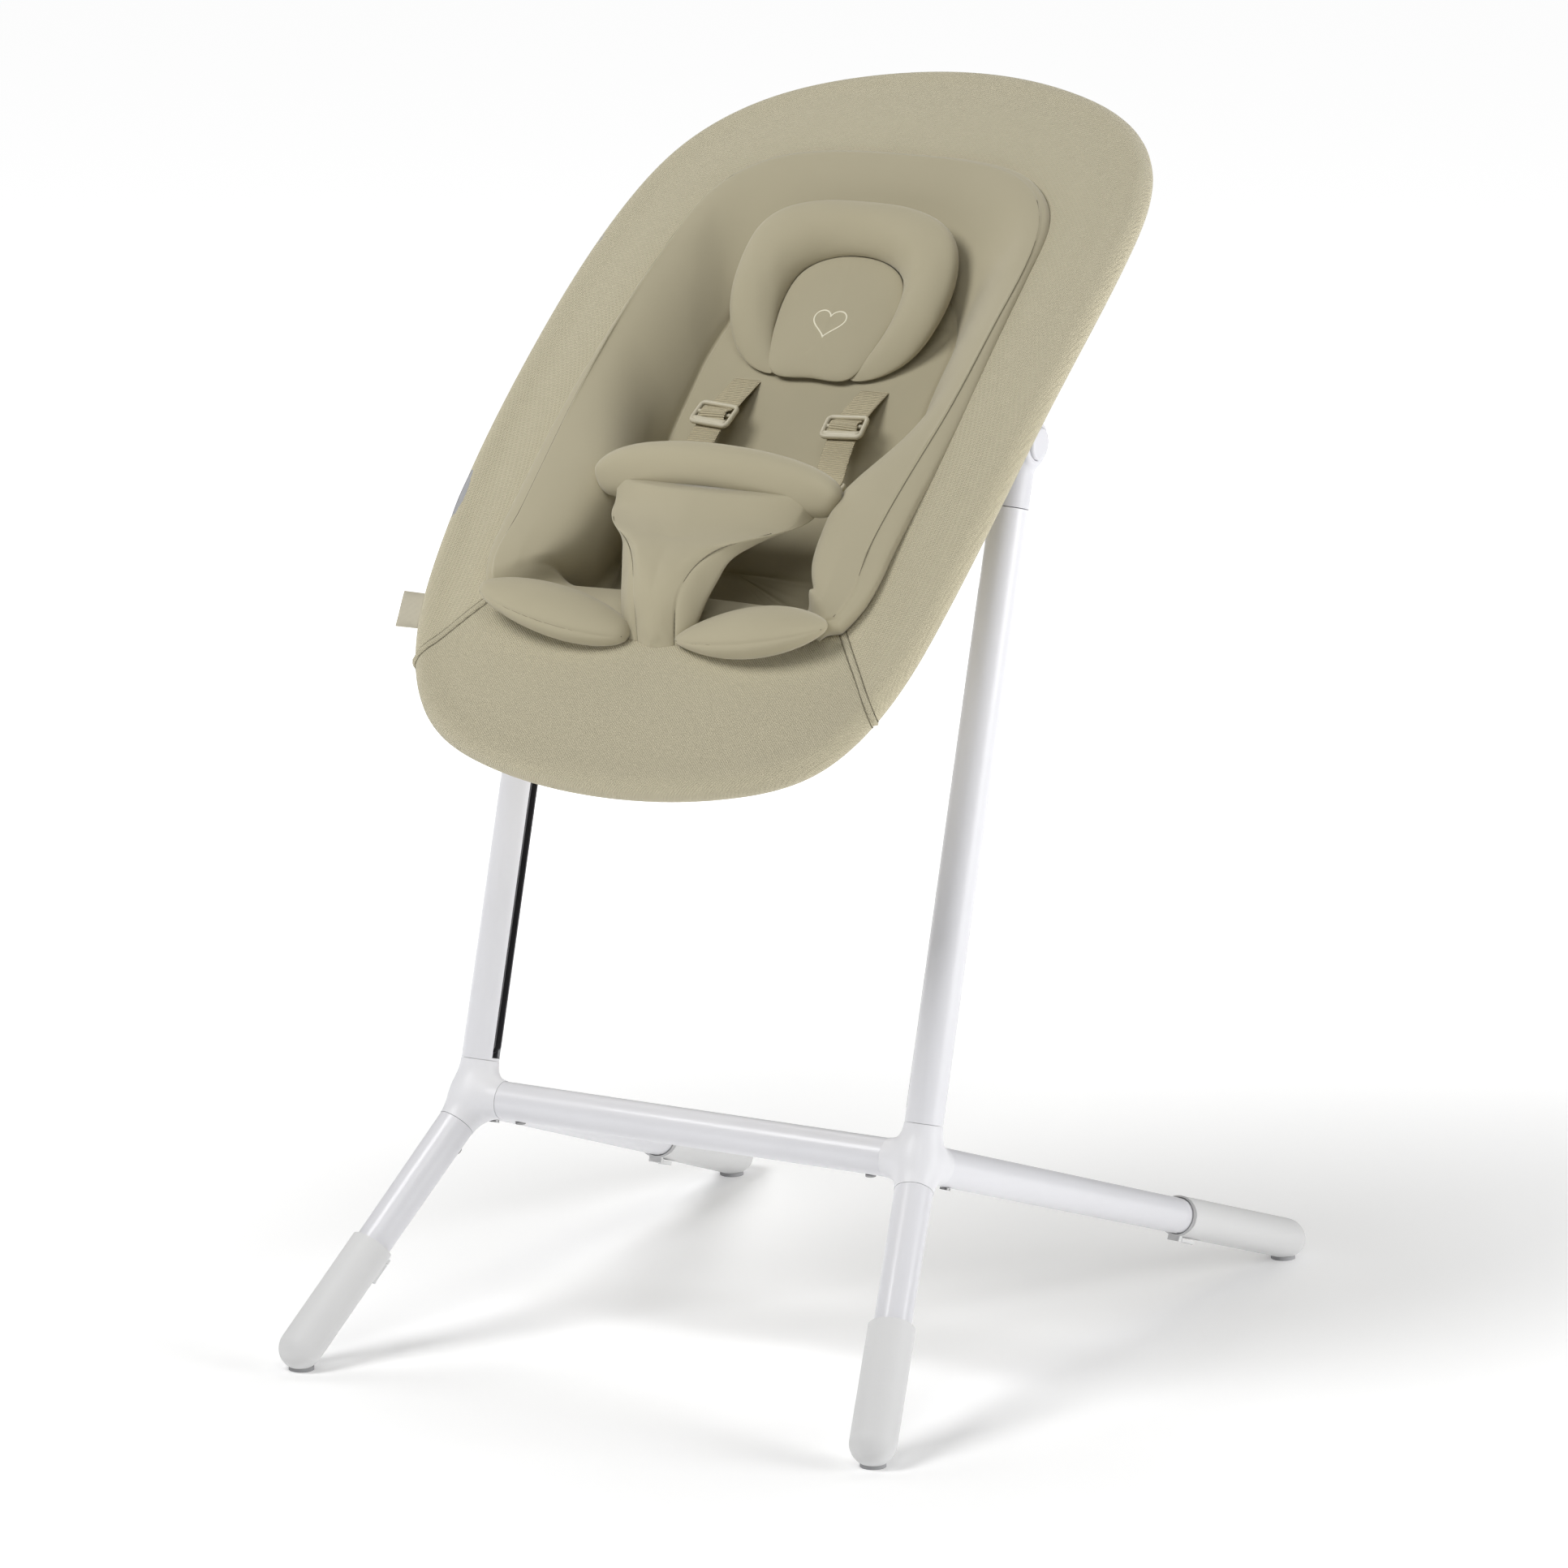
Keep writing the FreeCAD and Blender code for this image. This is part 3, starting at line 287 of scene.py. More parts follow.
# The default thread is half as bright as the cloth, which also paints the shade along the sewn line.
def sew(name, path, cloth, home, body, width=THREAD_WIDTH, thread="seam_thread_and_painted_shade"):
    """A thin sewn line that lies on a piece of cloth along a path near its surface."""
    mesh = cloth.data
    tree = BVHTree.FromPolygons([v.co for v in mesh.vertices], [p.vertices for p in mesh.polygons])
    spots = [tree.find_nearest(point)[:2] for point in in_row(path, home)]
    centres = np.array([spot for spot, _ in spots]) / MM
    normals = np.array([normal for _, normal in spots])
    for _ in range(THREAD_SMOOTHING):
        centres[1:-1] = (centres[:-2] + 2 * centres[1:-1] + centres[2:]) / 4
    aside = np.cross(normals, unit(np.gradient(centres, axis=0), 1e-9))
    rings = [centres + aside * (out * width / 2) + normals * up for out, up in THREAD_SECTION]
    line = skin(name, np.asarray(rings).transpose(1, 0, 2), materials[thread], home=ROW, caps=True)
    settle(line, body, "soft_jersey")


def apply(piece, kind, **settings):
    """Adds a modifier and applies it."""
    modifier = piece.modifiers.new(kind, kind)
    for key, value in settings.items():
        setattr(modifier, key, value)
    graph = bpy.context.evaluated_depsgraph_get()
    mesh = bpy.data.meshes.new_from_object(piece.evaluated_get(graph), depsgraph=graph)
    piece.modifiers.clear()
    old = piece.data
    piece.data = mesh
    bpy.data.meshes.remove(old)
    mesh.polygons.foreach_set("use_smooth", [True] * len(mesh.polygons))


def subdivide(piece):
    """Doubles the number of a soft piece's rows, so that it looks smooth."""
    apply(piece, "SUBSURF", levels=1, render_levels=1)


def settle(piece, body, slot, *nodes, fill=None):
    """The piece rides on a body and stands for CAD nodes, which it hides; slot and fill are not used."""
    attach(piece, body)
    if nodes:
        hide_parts(*nodes)


# ---------------------------------------------------------------- materials
class Nodes:
    """A material's nodes, added one after the other."""

    def __init__(self, name):
        self.material = bpy.data.materials.new(name)
        self.material.use_nodes = True
        self.tree = self.material.node_tree
        self.shader = self.tree.nodes["Principled BSDF"]

    def add(self, kind, inputs=None, **settings):
        """A new node; an input is a value or another node's output."""
        node = self.tree.nodes.new(kind)
        for key, value in settings.items():
            setattr(node, key, value)
        for key, value in (inputs or {}).items():
            if isinstance(value, bpy.types.NodeSocket):
                self.tree.links.new(value, node.inputs[key])
            else:
                node.inputs[key].default_value = value
        return node

    def into(self, socket, value):
        """A value or an output into the shader."""
        if isinstance(value, bpy.types.NodeSocket):
            self.tree.links.new(value, self.shader.inputs[socket])
        else:
            self.shader.inputs[socket].default_value = value

    def place(self, tilted=False):
        """Object coordinates, turned into the seat's own directions if tilted."""
        coordinates = self.add("ShaderNodeTexCoord").outputs["Object"]
        if not tilted:
            return coordinates
        inputs = {"Vector": coordinates, "Angle": -SEAT_ANGLE}
        return self.add("ShaderNodeVectorRotate", inputs, rotation_type="X_AXIS").outputs["Vector"]

    def noise(self, scale, detail=3.0, where=None):
        where = where or self.place()
        inputs = {"Vector": where, "Scale": scale, "Detail": detail}
        return self.add("ShaderNodeTexNoise", inputs).outputs["Fac"]

    def wave(self, direction, period, where):
        """Sine ridges across a direction, one every period in metres."""
        along = self.add("ShaderNodeVectorMath", {0: where, 1: direction}, operation="DOT_PRODUCT")
        return self.math("SINE", self.math("MULTIPLY", along.outputs["Value"], 2 * math.pi / period))

    def math(self, operation, *values):
        return self.add("ShaderNodeMath", dict(enumerate(values)), operation=operation).outputs[0]

    def between(self, factor, first, second):
        """A mix of two colours."""
        inputs = {"Factor": factor, "A": (*first, 1), "B": (*second, 1)}
        return self.add("ShaderNodeMix", inputs, data_type="RGBA").outputs["Result"]

    def spread(self, value, low, high):
        """0 to 1 stretched to low to high."""
        inputs = {"Value": value, "To Min": low, "To Max": high}
        return self.add("ShaderNodeMapRange", inputs).outputs["Result"]

    def bump(self, height, depth):
        inputs = {"Height": height, "Distance": depth, "Strength": 1.0}
        return self.add("ShaderNodeBump", inputs).outputs["Normal"]


def shade(colour, factor):
    """The colour made lighter or darker."""
    return tuple(channel * factor for channel in colour)


BEIGE = (0.431, 0.389, 0.270)
BEIGE_TWILL = (0.545, 0.496, 0.352)
FABRIC_ROUGH = 0.86
WARP_PERIOD = 0.0011


def fabric(name, colour, period, depth, contrast, directions, sheen=0.25):
    """Woven or knitted cloth: two crossed sets of fine ridges, uneven threads and a soft sheen."""
    nodes = Nodes(name)
    where = nodes.place(tilted=True)
    first = nodes.wave(directions[0], period, where)
    second = nodes.wave(directions[1], period, where)
    weave = nodes.math("MULTIPLY", first, second)
    threads = nodes.noise(420.0, 2.0, where)
    cloudy = nodes.noise(9.0, 4.0, where)
    height = nodes.math("ADD", weave, nodes.math("MULTIPLY", threads, 0.9))
    mottle = nodes.math("ADD", nodes.math("MULTIPLY", weave, contrast), nodes.spread(cloudy, -0.5, 0.5))
    factor = nodes.spread(mottle, 0.25, 0.75)
    nodes.into("Base Color", nodes.between(factor, shade(colour, 0.93), shade(colour, 1.07)))
    nodes.into("Roughness", nodes.spread(threads, FABRIC_ROUGH - 0.06, FABRIC_ROUGH + 0.06))
    nodes.into("Sheen Weight", sheen)
    nodes.into("Sheen Roughness", 0.45)
    nodes.into("Specular IOR Level", 0.2)
    nodes.into("Normal", nodes.bump(height, depth))
    return nodes.material


def painted(name, colour, rough, grain_scale, grain_depth, coat=0.0, metallic=0.0, specular=0.5):
    """Paint, plastic, rubber or metal with a fine grain and slightly uneven gloss."""
    nodes = Nodes(name)
    grain = nodes.noise(grain_scale, 3.0)
    patches = nodes.noise(14.0, 3.0)
    nodes.into("Base Color", nodes.between(patches, shade(colour, 0.985), shade(colour, 1.015)))
    nodes.into("Roughness", nodes.spread(patches, rough - 0.04, rough + 0.04))
    nodes.into("Metallic", metallic)
    nodes.into("Coat Weight", coat)
    nodes.into("Specular IOR Level", specular)
    nodes.into("Normal", nodes.bump(grain, grain_depth))
    return nodes.material


def ribbed(name, colour, direction, period, depth):
    """Narrow webbing with ribs across its length."""
    nodes = Nodes(name)
    where = nodes.place(tilted=True)
    ribs = nodes.wave(direction, period, where)
    warp = nodes.wave((1, 0, 0), WARP_PERIOD, where)
    height = nodes.math("ADD", ribs, nodes.math("MULTIPLY", warp, 0.4))
    factor = nodes.spread(nodes.math("ADD", ribs, nodes.noise(300.0, 2.0, where)), 0.0, 1.0)
    nodes.into("Base Color", nodes.between(factor, shade(colour, 0.86), shade(colour, 1.06)))
    nodes.into("Roughness", 0.8)
    nodes.into("Specular IOR Level", 0.2)
    nodes.into("Normal", nodes.bump(height, depth))
    return nodes.material


TWILL = ((0.78, 0.62, 0.2), (-0.62, 0.78, 0.2))
SQUARE = ((1, 0, 0.1), (0, 1, 0.4))
materials = {
    "woven_fabric": fabric("woven_fabric", BEIGE_TWILL, 0.0022, 0.0003, 1.2, TWILL),
    "front_fabric": fabric("front_fabric", shade(BEIGE_TWILL, 0.94), 0.0022, 0.0003, 1.1, SQUARE),
    "soft_jersey": fabric("soft_jersey", BEIGE, 0.0007, 0.00003, 0.08, SQUARE, 0.3),
    "lining_fabric": fabric("lining_fabric", shade(BEIGE, 0.92), 0.0018, 0.00012, 0.3, SQUARE, 0.15),
    # Sewn lines: real thread, but made half as bright as the cloth so that it also paints the shade along each
    # seam.
    "seam_thread_and_painted_shade": ribbed("seam_thread_and_painted_shade", shade(BEIGE, 0.5), (0, 1, 0), 0.0021, 0.0002),
    "webbing": ribbed("webbing", (0.60, 0.53, 0.36), (0, 1, 0.3), 0.0021, 0.0004),
    "beige_plastic": painted("beige_plastic", (0.56, 0.515, 0.385), 0.42, 900.0, 0.00002),
    "label_fabric": ribbed("label_fabric", (0.56, 0.52, 0.41), (0, 1, 0), 0.0009, 0.0001),
    "white_enamel": painted("white_enamel", (0.77, 0.77, 0.80), 0.34, 1600.0, 0.000008, coat=0.15),
    "white_casting": painted("white_casting", (0.80, 0.80, 0.825), 0.42, 1200.0, 0.00001),
    "white_plastic": painted("white_plastic", (0.68, 0.68, 0.715), 0.40, 1200.0, 0.00001),
    "foot_plastic": painted("foot_plastic", (0.74, 0.74, 0.74), 0.55, 1500.0, 0.00002),
    "foot_rubber": painted("foot_rubber", (0.42, 0.42, 0.43), 0.8, 1500.0, 0.00004, specular=0.3),
    "dark_liner": painted("dark_liner", (0.055, 0.055, 0.06), 0.5, 1200.0, 0.00002),
    "bolt_steel": painted("bolt_steel", (0.33, 0.33, 0.33), 0.35, 2500.0, 0.00001, metallic=1.0),
    "grey_nylon": painted("grey_nylon", (0.30, 0.30, 0.31), 0.55, 1200.0, 0.00002),
    "grey_frame": painted("grey_frame", (0.33, 0.33, 0.34), 0.5, 1200.0, 0.00002),
    "heart_mark": painted("heart_mark", (0.80, 0.76, 0.60), 0.6, 1500.0, 0.00002),
}


def dress_cad():
    """Every CAD node takes the material of its slot."""
    for part in frame["record"]["subparts"]:
        coat(frame["nodes"][part["node"]], part["material_slot"])


# ---------------------------------------------------------------- outlines that match each other
def split_outline():
    """The rim and the inlay as two matching parts each: round the head, and across the front panel."""
    rim = cubic(mirrored(RIM), RIM_COUNT, closed=True)
    line = SPLIT_BEYOND - SPLIT_CORNER
    off = (rim - SPLIT_CORNER) @ np.array([-line[1], line[0]])
    right = [i for i in range(len(rim)) if rim[i, 0] > 0 and rim[i, 1] < 200 and off[i] * off[i + 1] <= 0][0]
    left = len(rim) - right
    around_head = resample(rim[right : left + 1], HEAD_COUNT)
    front = resample(np.vstack([rim[left:], rim[: right + 1]]), FRONT_COUNT)
    return around_head, front


def arc_through(first, middle, last, count):
    """Points on the circular arc through three plan points."""
    a, b, c = (np.array(p, float) for p in (first, middle, last))
    system = 2 * np.array([b - a, c - a])
    centre = np.linalg.solve(system, [b @ b - a @ a, c @ c - a @ a])
    angles = [math.atan2(*(p - centre)[::-1]) for p in (a, b, c)]
    angles = np.unwrap(angles)
    sweep = np.linspace(angles[0], angles[2], count)
    radius = np.linalg.norm(a - centre)
    return centre + radius * np.stack([np.cos(sweep), np.sin(sweep)], axis=1)


rim_head, rim_front = split_outline()
inlay_head = cubic(mirrored(INLAY), HEAD_COUNT)
inlay_front = arc_through((-156, 148), (0, INLAY_FRONT), (156, 148), FRONT_COUNT)


# ---------------------------------------------------------------- cover
# Cross-section of the cover: shares of the border's width, then distances from the rim and heights.
BORDER_SHARES = (1.0, 0.93, 0.86, 0.78, 0.66, 0.5, 0.34, 0.18, 0.06)
SHOULDER = ((27, 9.7), (22, 9.9), (18, 10.5), (14.5, 10.9))
HEM = (
    (15, -10.9), (20, -10.4), (25, -9.4), (29, -8.0), (30, -7.0), (29, -6.4), (25, -7.8), (20, -8.8),
    (15, -9.4),
)
COVER_THICK = 1.6
SEAM_HALF = 3.2
SEAM_REACH = 24
HUB_GAP = (33.0, 45.0)


def border_rings(outer, inner, hem_back):
    """Closed cross-sections of the cover, from the inlay's edge over the rim to the hem underneath."""
    normal = inward(outer, closed=False)
    toward = unit(inner - outer)
    from_end = np.minimum(np.arange(len(outer)), np.arange(len(outer))[::-1])[:, None]
    at_seam = 1 - smooth(from_end, 0, SEAM_REACH)
    slanted = toward / np.maximum((toward * normal).sum(axis=1)[:, None], 0.3)
    normal = normal + (slanted - normal) * at_seam
    rings = []

    def rim_point(distance, height):
        rings.append(raised(outer + normal * np.reshape(distance, (-1, 1)), height))

    def band_point(share, height):
        start = outer + normal * 30.0
        end = inner + toward * 9.0
        rings.append(raised(start + (end - start) * share, height))

    for share in BORDER_SHARES:
        lift = 9.6 + 0.9 * math.sin(math.pi * share) - 4.5 * smooth(share, 0.9, 1.0)
        band_point(share, lift)
    for distance, height in SHOULDER:
        rim_point(distance, height)
    for step in range(13):
        angle = math.pi / 2 + math.pi * step / 12
        rim_point(RIM_HALF + RIM_HALF * math.cos(angle), RIM_HALF * math.sin(angle))
    for distance, height in HEM:
        rim_point(RIM_HALF + (distance - RIM_HALF) * hem_back, height)
    inside = RIM_HALF - COVER_THICK
    for step in range(9):
        angle = -math.pi / 2 - math.pi * step / 8
        rim_point(RIM_HALF + inside * math.cos(angle), inside * math.sin(angle))
    for share in (0.06, 0.3, 0.6, 0.9, 1.0):
        band_point(share, 7.6 - 4.5 * float(smooth(share, 0.9, 1.0)))
    return np.asarray(rings).transpose(1, 0, 2)


def make_cover():
    """Outer cover, its front panel and the two felled seams that join them."""
    near_bracket = smooth(np.abs(rim_head[:, 1] - PIVOT.y), *HUB_GAP)
    hem_back = 0.06 + 0.94 * near_bracket
    cover = border_rings(rim_head, inlay_head, hem_back)
    panel = border_rings(rim_front, inlay_front, np.ones(FRONT_COUNT))
    for rings in (cover, panel):
        for end in (0, -1):
            middle = rings[end].mean(axis=0)
            rings[end][:, 2] -= 0.7 * np.sign(rings[end][:, 2] - middle[2] - 2.0)
    piece = skin("seat_cover_fabric", cover, materials["woven_fabric"], caps=True)
    settle(piece, "seat", "woven_fabric", "seat_cover")
    piece = skin("front_panel_fabric", panel, materials["front_fabric"], caps=True)
    settle(piece, "seat", "woven_fabric", "front_panel")
    ends = (("right", cover[0], cover[1], panel[-2]), ("left", cover[-1], cover[-2], panel[1]))
    for name, profile, above, below in ends:
        over = profile[1:31]
        ribbon(f"{name}_front_seam", over, DOWN_SEAT, 5.0, 2.4, "front_fabric", "woven_fabric")
        for row, near in (("upper", above), ("lower", below)):
            gap = np.linalg.norm(near - profile, axis=1)[:, None]
            beside = (profile + (near - profile) * SEAM_HALF / gap)[1:31]
            ribbon(f"{name}_front_{row}_stitch", beside, DOWN_SEAT, 0.9, 0.9, "seam_thread_and_painted_shade", "woven_fabric")


DOWN_SEAT, ACROSS = (0.0, -1.0, 0.0), (1, 0, 0)


def ribbon(name, path, side_hint, width, thick, material, slot):
    """A flat band with rounded edges along a path, its width near the hinted direction."""
    path = np.asarray(path, float)
    rings = []
    across = np.array(side_hint, float)
    for point, direction in zip(path, unit(np.gradient(path, axis=0))):
        across = across - direction * (across @ direction)
        across = across / np.linalg.norm(across)
        up = np.cross(across, direction)
        ring = []
        for c, s in circle(12):
            ring.append(point + across * squarer(c, 0.35) * width / 2 + up * (squarer(s, 0.8) * thick / 2))
        rings.append(ring)
    piece = skin(name, rings, materials[material], caps=True)
    settle(piece, "seat", slot)
    return piece


# ---------------------------------------------------------------- inlay
FLOOR_STATIONS = (196, 240, 300, 360, 420, 480, 526, 575)
FLOOR_LEVELS = (-50, -57, -56, -45, -36, -31, -13, -8)
EDGE_STATIONS = (149, 165, 216, 292, 372, 462, 526, 575, 605, 625, 641)
EDGE_LEVELS = (27, 27, 25, 21, 17, 16, 15, 18, 20, 20, 17)
SPINE_ENDS = (240.0, 480.0)
# Rings up the wall: shares of its width and height on the sides, and of its width at the head.
SIDE_WALL = (
    (-0.04, 0.06), (-0.10, 0.18), (-0.15, 0.33), (-0.18, 0.48), (-0.19, 0.62), (-0.17, 0.74), (-0.12, 0.83),
    (-0.03, 0.91), (0.10, 0.96), (0.28, 0.985), (0.50, 1.0), (0.72, 1.0),
)
HEAD_WALL = (0.03, 0.08, 0.14, 0.20, 0.27, 0.35, 0.43, 0.51, 0.60, 0.69, 0.78, 0.87)


# The front edge, which is low and round: shares of its width and height while the wall turns over.
FRONT_TURN = (0, 0.1, 0.3, 0.6, 1.0)
FRONT_OUT, FRONT_UP = (0, 0.07, 0.16, 0.45, 1.0), (0, 0.42, 0.66, 0.86, 1.0)
FRONT_LEVEL = 9.5
INLAY_THICK = 9.0
SLING_DEPTH, SLING_THICK = 13.0, 1.4
SLING_WALL = ((1.0, 0.97), (0.85, 0.86), (0.66, 0.68), (0.46, 0.47), (0.27, 0.26), (0.12, 0.1), (0.03, 0.02))
SEAM_END = 600


def inlay_parts():
    """Matching closed loops: the inlay's outer edge, its crease, and each sample's share in the front."""
    edge = np.vstack([inlay_head, inlay_front[1:-1]])
    crease_head = cubic(mirrored(CREASE), HEAD_COUNT)
    crease_front = arc_through((-CREASE[0][0], CREASE[0][1]), (0, CREASE_FRONT), CREASE[0], FRONT_COUNT)
    crease = np.vstack([crease_head, crease_front[1:-1]])
    count = len(edge)
    place = np.arange(count)
    front = smooth(place, HEAD_COUNT - 4, HEAD_COUNT + 8) * (1 - smooth(place, count - 9, count - 1))
    return edge, crease, front


def inlay_levels(edge, crease, front):
    """Heights of the crease and of the wall's top."""
    floor = table(FLOOR_STATIONS, FLOOR_LEVELS, crease[:, 1])
    side = table(EDGE_STATIONS, EDGE_LEVELS, edge[:, 1])
    return floor, side * (1 - front) + FRONT_LEVEL * front


def make_inlay():
    """Padded bowl: a flat back, sloping fat walls with a seam near their edge, and a rolled head end."""
    edge, crease, front = inlay_parts()
    floor, top = inlay_levels(edge, crease, front)
    spine = np.stack([np.zeros(len(edge)), np.clip(crease[:, 1], *SPINE_ENDS)], axis=1)
    outward = edge - crease
    width = np.linalg.norm(outward, axis=1)
    low_side = 1 - smooth(edge[:, 1], 200, 560)
    has_seam = (1 - smooth(edge[:, 1], 575, 625)) * (1 - front)
    seam_inset = (5 + 9 * low_side * smooth(edge[:, 1], 150, 215) + 2) / width
    rings = []

    def floor_ring(share, drop):
        plan = spine + (crease - spine) * share
        level = table(FLOOR_STATIONS, FLOOR_LEVELS, plan[:, 1])
        blend = smooth(share, 0.55, 1.0)
        level = level * (1 - blend) + floor * blend
        crown = 3.0 * (1 - share**2)
        rings.append(raised(plan, level + crown - drop))

    def wall_ring(turn, out, up, drop=0.0, down=0.0):
        """A ring up the wall: how far over it, and its shares of the width and height on the sides."""
        share = np.asarray(out) * (1 - front) + np.interp(turn, FRONT_TURN, FRONT_OUT) * front
        height = np.asarray(up) * (1 - front) + np.interp(turn, FRONT_TURN, FRONT_UP) * front
        level = floor + (top - floor) * height - drop - down * (1 - front)
        rings.append(raised(crease + outward * share[:, None], level))

    for share in (0.0, 0.3, 0.55, 0.75, 0.88, 0.95, 0.985):
        floor_ring(share, 0.0)
    floor_ring(1.0, 3.0)
    ones = np.ones(len(edge))
    slope = smooth(edge[:, 1], 270, 430)
    roll = smooth(edge[:, 1], 160, 275)
    power = 1.9 - 0.5 * smooth(edge[:, 1], 540, 630)
    for step, ((side_out, side_up), head_out) in enumerate(zip(SIDE_WALL, HEAD_WALL)):
        head_up = 1 - (1 - head_out) ** power
        turn = 0.85 * (step + 1) / len(SIDE_WALL)
        side_out = side_out + 0.2 * (1 - roll) * (side_out < 0.3)
        wall_ring(turn, side_out + (head_out - side_out) * slope, side_up + (head_up - side_up) * slope)
    groove = 1.0 * has_seam
    line = 1.0 / width
    wall_ring(0.88, 1 - seam_inset - 2.5 * line, 1.0 * ones)
    wall_ring(0.91, 1 - seam_inset - line, 1.0 * ones)
    wall_ring(0.93, 1 - seam_inset, 0.985 * ones, groove)
    wall_ring(0.95, 1 - seam_inset + line, 0.975 * ones)
    wall_ring(0.97, 1 - 0.45 * seam_inset, 0.97 * ones, 0.6)
    wall_ring(0.99, 1 - 1.4 / width, 0.97 * ones, 2.2)
    wall_ring(1.0, ones, 0.97 * ones, 0.0, 5.0)
    wall_ring(1.0, 1 - 0.5 / width, 0.97 * ones, 0.0, 8.5)
    under = np.minimum(top - 10.0, 10.2)
    rings.append(raised(edge - outward * (3.0 / width)[:, None], under))
    rings.append(raised(crease + outward * 0.5, floor + (under - floor) * 0.62 - 6))
    rings.append(raised(crease + outward * (5.0 / width)[:, None], floor - 6))
    floor_ring(0.6, INLAY_THICK)
    floor_ring(0.0, INLAY_THICK)
    piece = skin("body_inlay_padding", rings, materials["soft_jersey"])
    inflate(piece, 1.2, 3.0, frames=10)
    subdivide(piece)
    settle(piece, "seat", "soft_jersey", "body_inlay", fill=0.5)
    inset = edge - outward * seam_inset[:, None]
    line = raised(inset, top - 0.5)[:HEAD_COUNT]
    keep = edge[:HEAD_COUNT, 1] < SEAM_END
    half = HEAD_COUNT // 2
    for name, part in (("right", line[:half][keep[:half]]), ("left", line[half:][keep[half:]])):
        sew(f"{name}_wall_seam", part, piece, SEAT, "seat")


def make_sling():
    """Hammock of strong cloth under the inlay, hung from the border."""
    edge, crease, front = inlay_parts()
    floor = inlay_levels(edge, crease, front)[0]
    rim = np.vstack([rim_head, rim_front[1:-1]])
    normal = inward(rim)
    spine = np.stack([np.zeros(len(edge)), np.clip(crease[:, 1], *SPINE_ENDS)], axis=1)
    hang = edge + (rim - edge) * 0.12
    low = crease + unit(edge - crease) * SLING_DEPTH
    top = rim + normal * 27.0
    rings = [raised(top, 0.5), raised(rim + normal * 30.0, -0.6), raised(hang + (top - hang) * 0.4, -1.5)]
    depth = floor - SLING_DEPTH
    for out, up in SLING_WALL:
        rings.append(raised(low + (hang - low) * out, depth * (1 - up) - 1.5 * up))
    for share in (0.97, 0.85, 0.6, 0.3, 0.0):
        plan = spine + (low - spine) * share
        level = table(FLOOR_STATIONS, FLOOR_LEVELS, plan[:, 1]) - SLING_DEPTH
        blend = float(smooth(share, 0.5, 1.0))
        rings.append(raised(plan, level * (1 - blend) + depth * blend - 2.0 * (1 - share)))
    outside = np.asarray(rings)
    inside = outside[::-1].copy()
    inside[:, :, 2] += SLING_THICK
    rings = np.concatenate([outside, inside])
    piece = skin("seat_sling_fabric", rings, materials["lining_fabric"], close=True)
    settle(piece, "seat", "lining_fabric", "seat_sling")


# ---------------------------------------------------------------- head support
PILLOW_COUNT = 84
# Places up the seat and heights over the bent surface there: the pillow's outer and inner edges, and the pad.
PILLOW_OUTER = (416, 440, 475, 510, 545, 566), (-28, -22, -9, 2, 16, 24)
PILLOW_INNER = (414, 452, 485, 530), (-27, -20, -15, -4)
HEAD_PAD_LEVEL = (414, 452, 485, 530), (-25, -19, -14, -4)


def make_head_pillow():
    """Fat horseshoe that tapers to a point at each lower corner of the head pad."""
    outer, inner = (
        cubic([start, *half, *[(-x, y) for x, y in reversed(half[:-1])], (-start[0], start[1])], PILLOW_COUNT)
        for start, half in (((36, 416), PILLOW[1:]), ((35, 417), HEAD_PAD[2:]))
    )
    body = np.sin(math.pi * np.linspace(0, 1, PILLOW_COUNT)) ** 0.5
    wide = np.linalg.norm(outer - inner, axis=1)
    outer_level = table(*PILLOW_OUTER, outer[:, 1])
    inner_level = table(*PILLOW_INNER, inner[:, 1])
    rings = []
    for c, s in circle(22):
        out = 0.5 - 0.5 * squarer(c, 0.85)
        plan = inner + (outer - inner) * out
        base = inner_level + (outer_level - inner_level) * out
        tall = np.minimum(wide * 0.36, 17.0) if s > 0 else np.minimum(wide * 0.3, 13.0)
        rings.append(raised(plan, base + tall * s * body))
    rings = np.asarray(rings).transpose(1, 0, 2)
    for end in (0, -1):
        rings[end] = rings[end].mean(axis=0)
    piece = skin("head_pillow_padding", rings, materials["soft_jersey"])
    inflate(piece, 3.0, 5.0)
    subdivide(piece)
    settle(piece, "seat", "soft_jersey", "head_pillow", fill=0.85)


CUSHION_SHARES = (1.0, 0.985, 0.94, 0.86, 0.72, 0.5, 0.25, 0.0)


def cushion(name, outline, centre, level, crown, base, material):
    """A closed pad over a plan outline: crowned on top, flatter underneath, with its seam round the edge."""
    rings = []
    for sign, amount in ((1, crown), (-1, base)):
        block = []
        for share in CUSHION_SHARES if sign > 0 else CUSHION_SHARES[1:]:
            plan = centre + (outline - centre) * share
            puff = amount * sign * (1 - share**4) ** 0.6
            block.append(raised(plan, level(plan) + puff))
        rings = block[::-1] + rings if sign > 0 else rings + block
    return skin(name, rings, material)


MARK_PLACE, MARK_SCALE = 462.0, 0.95


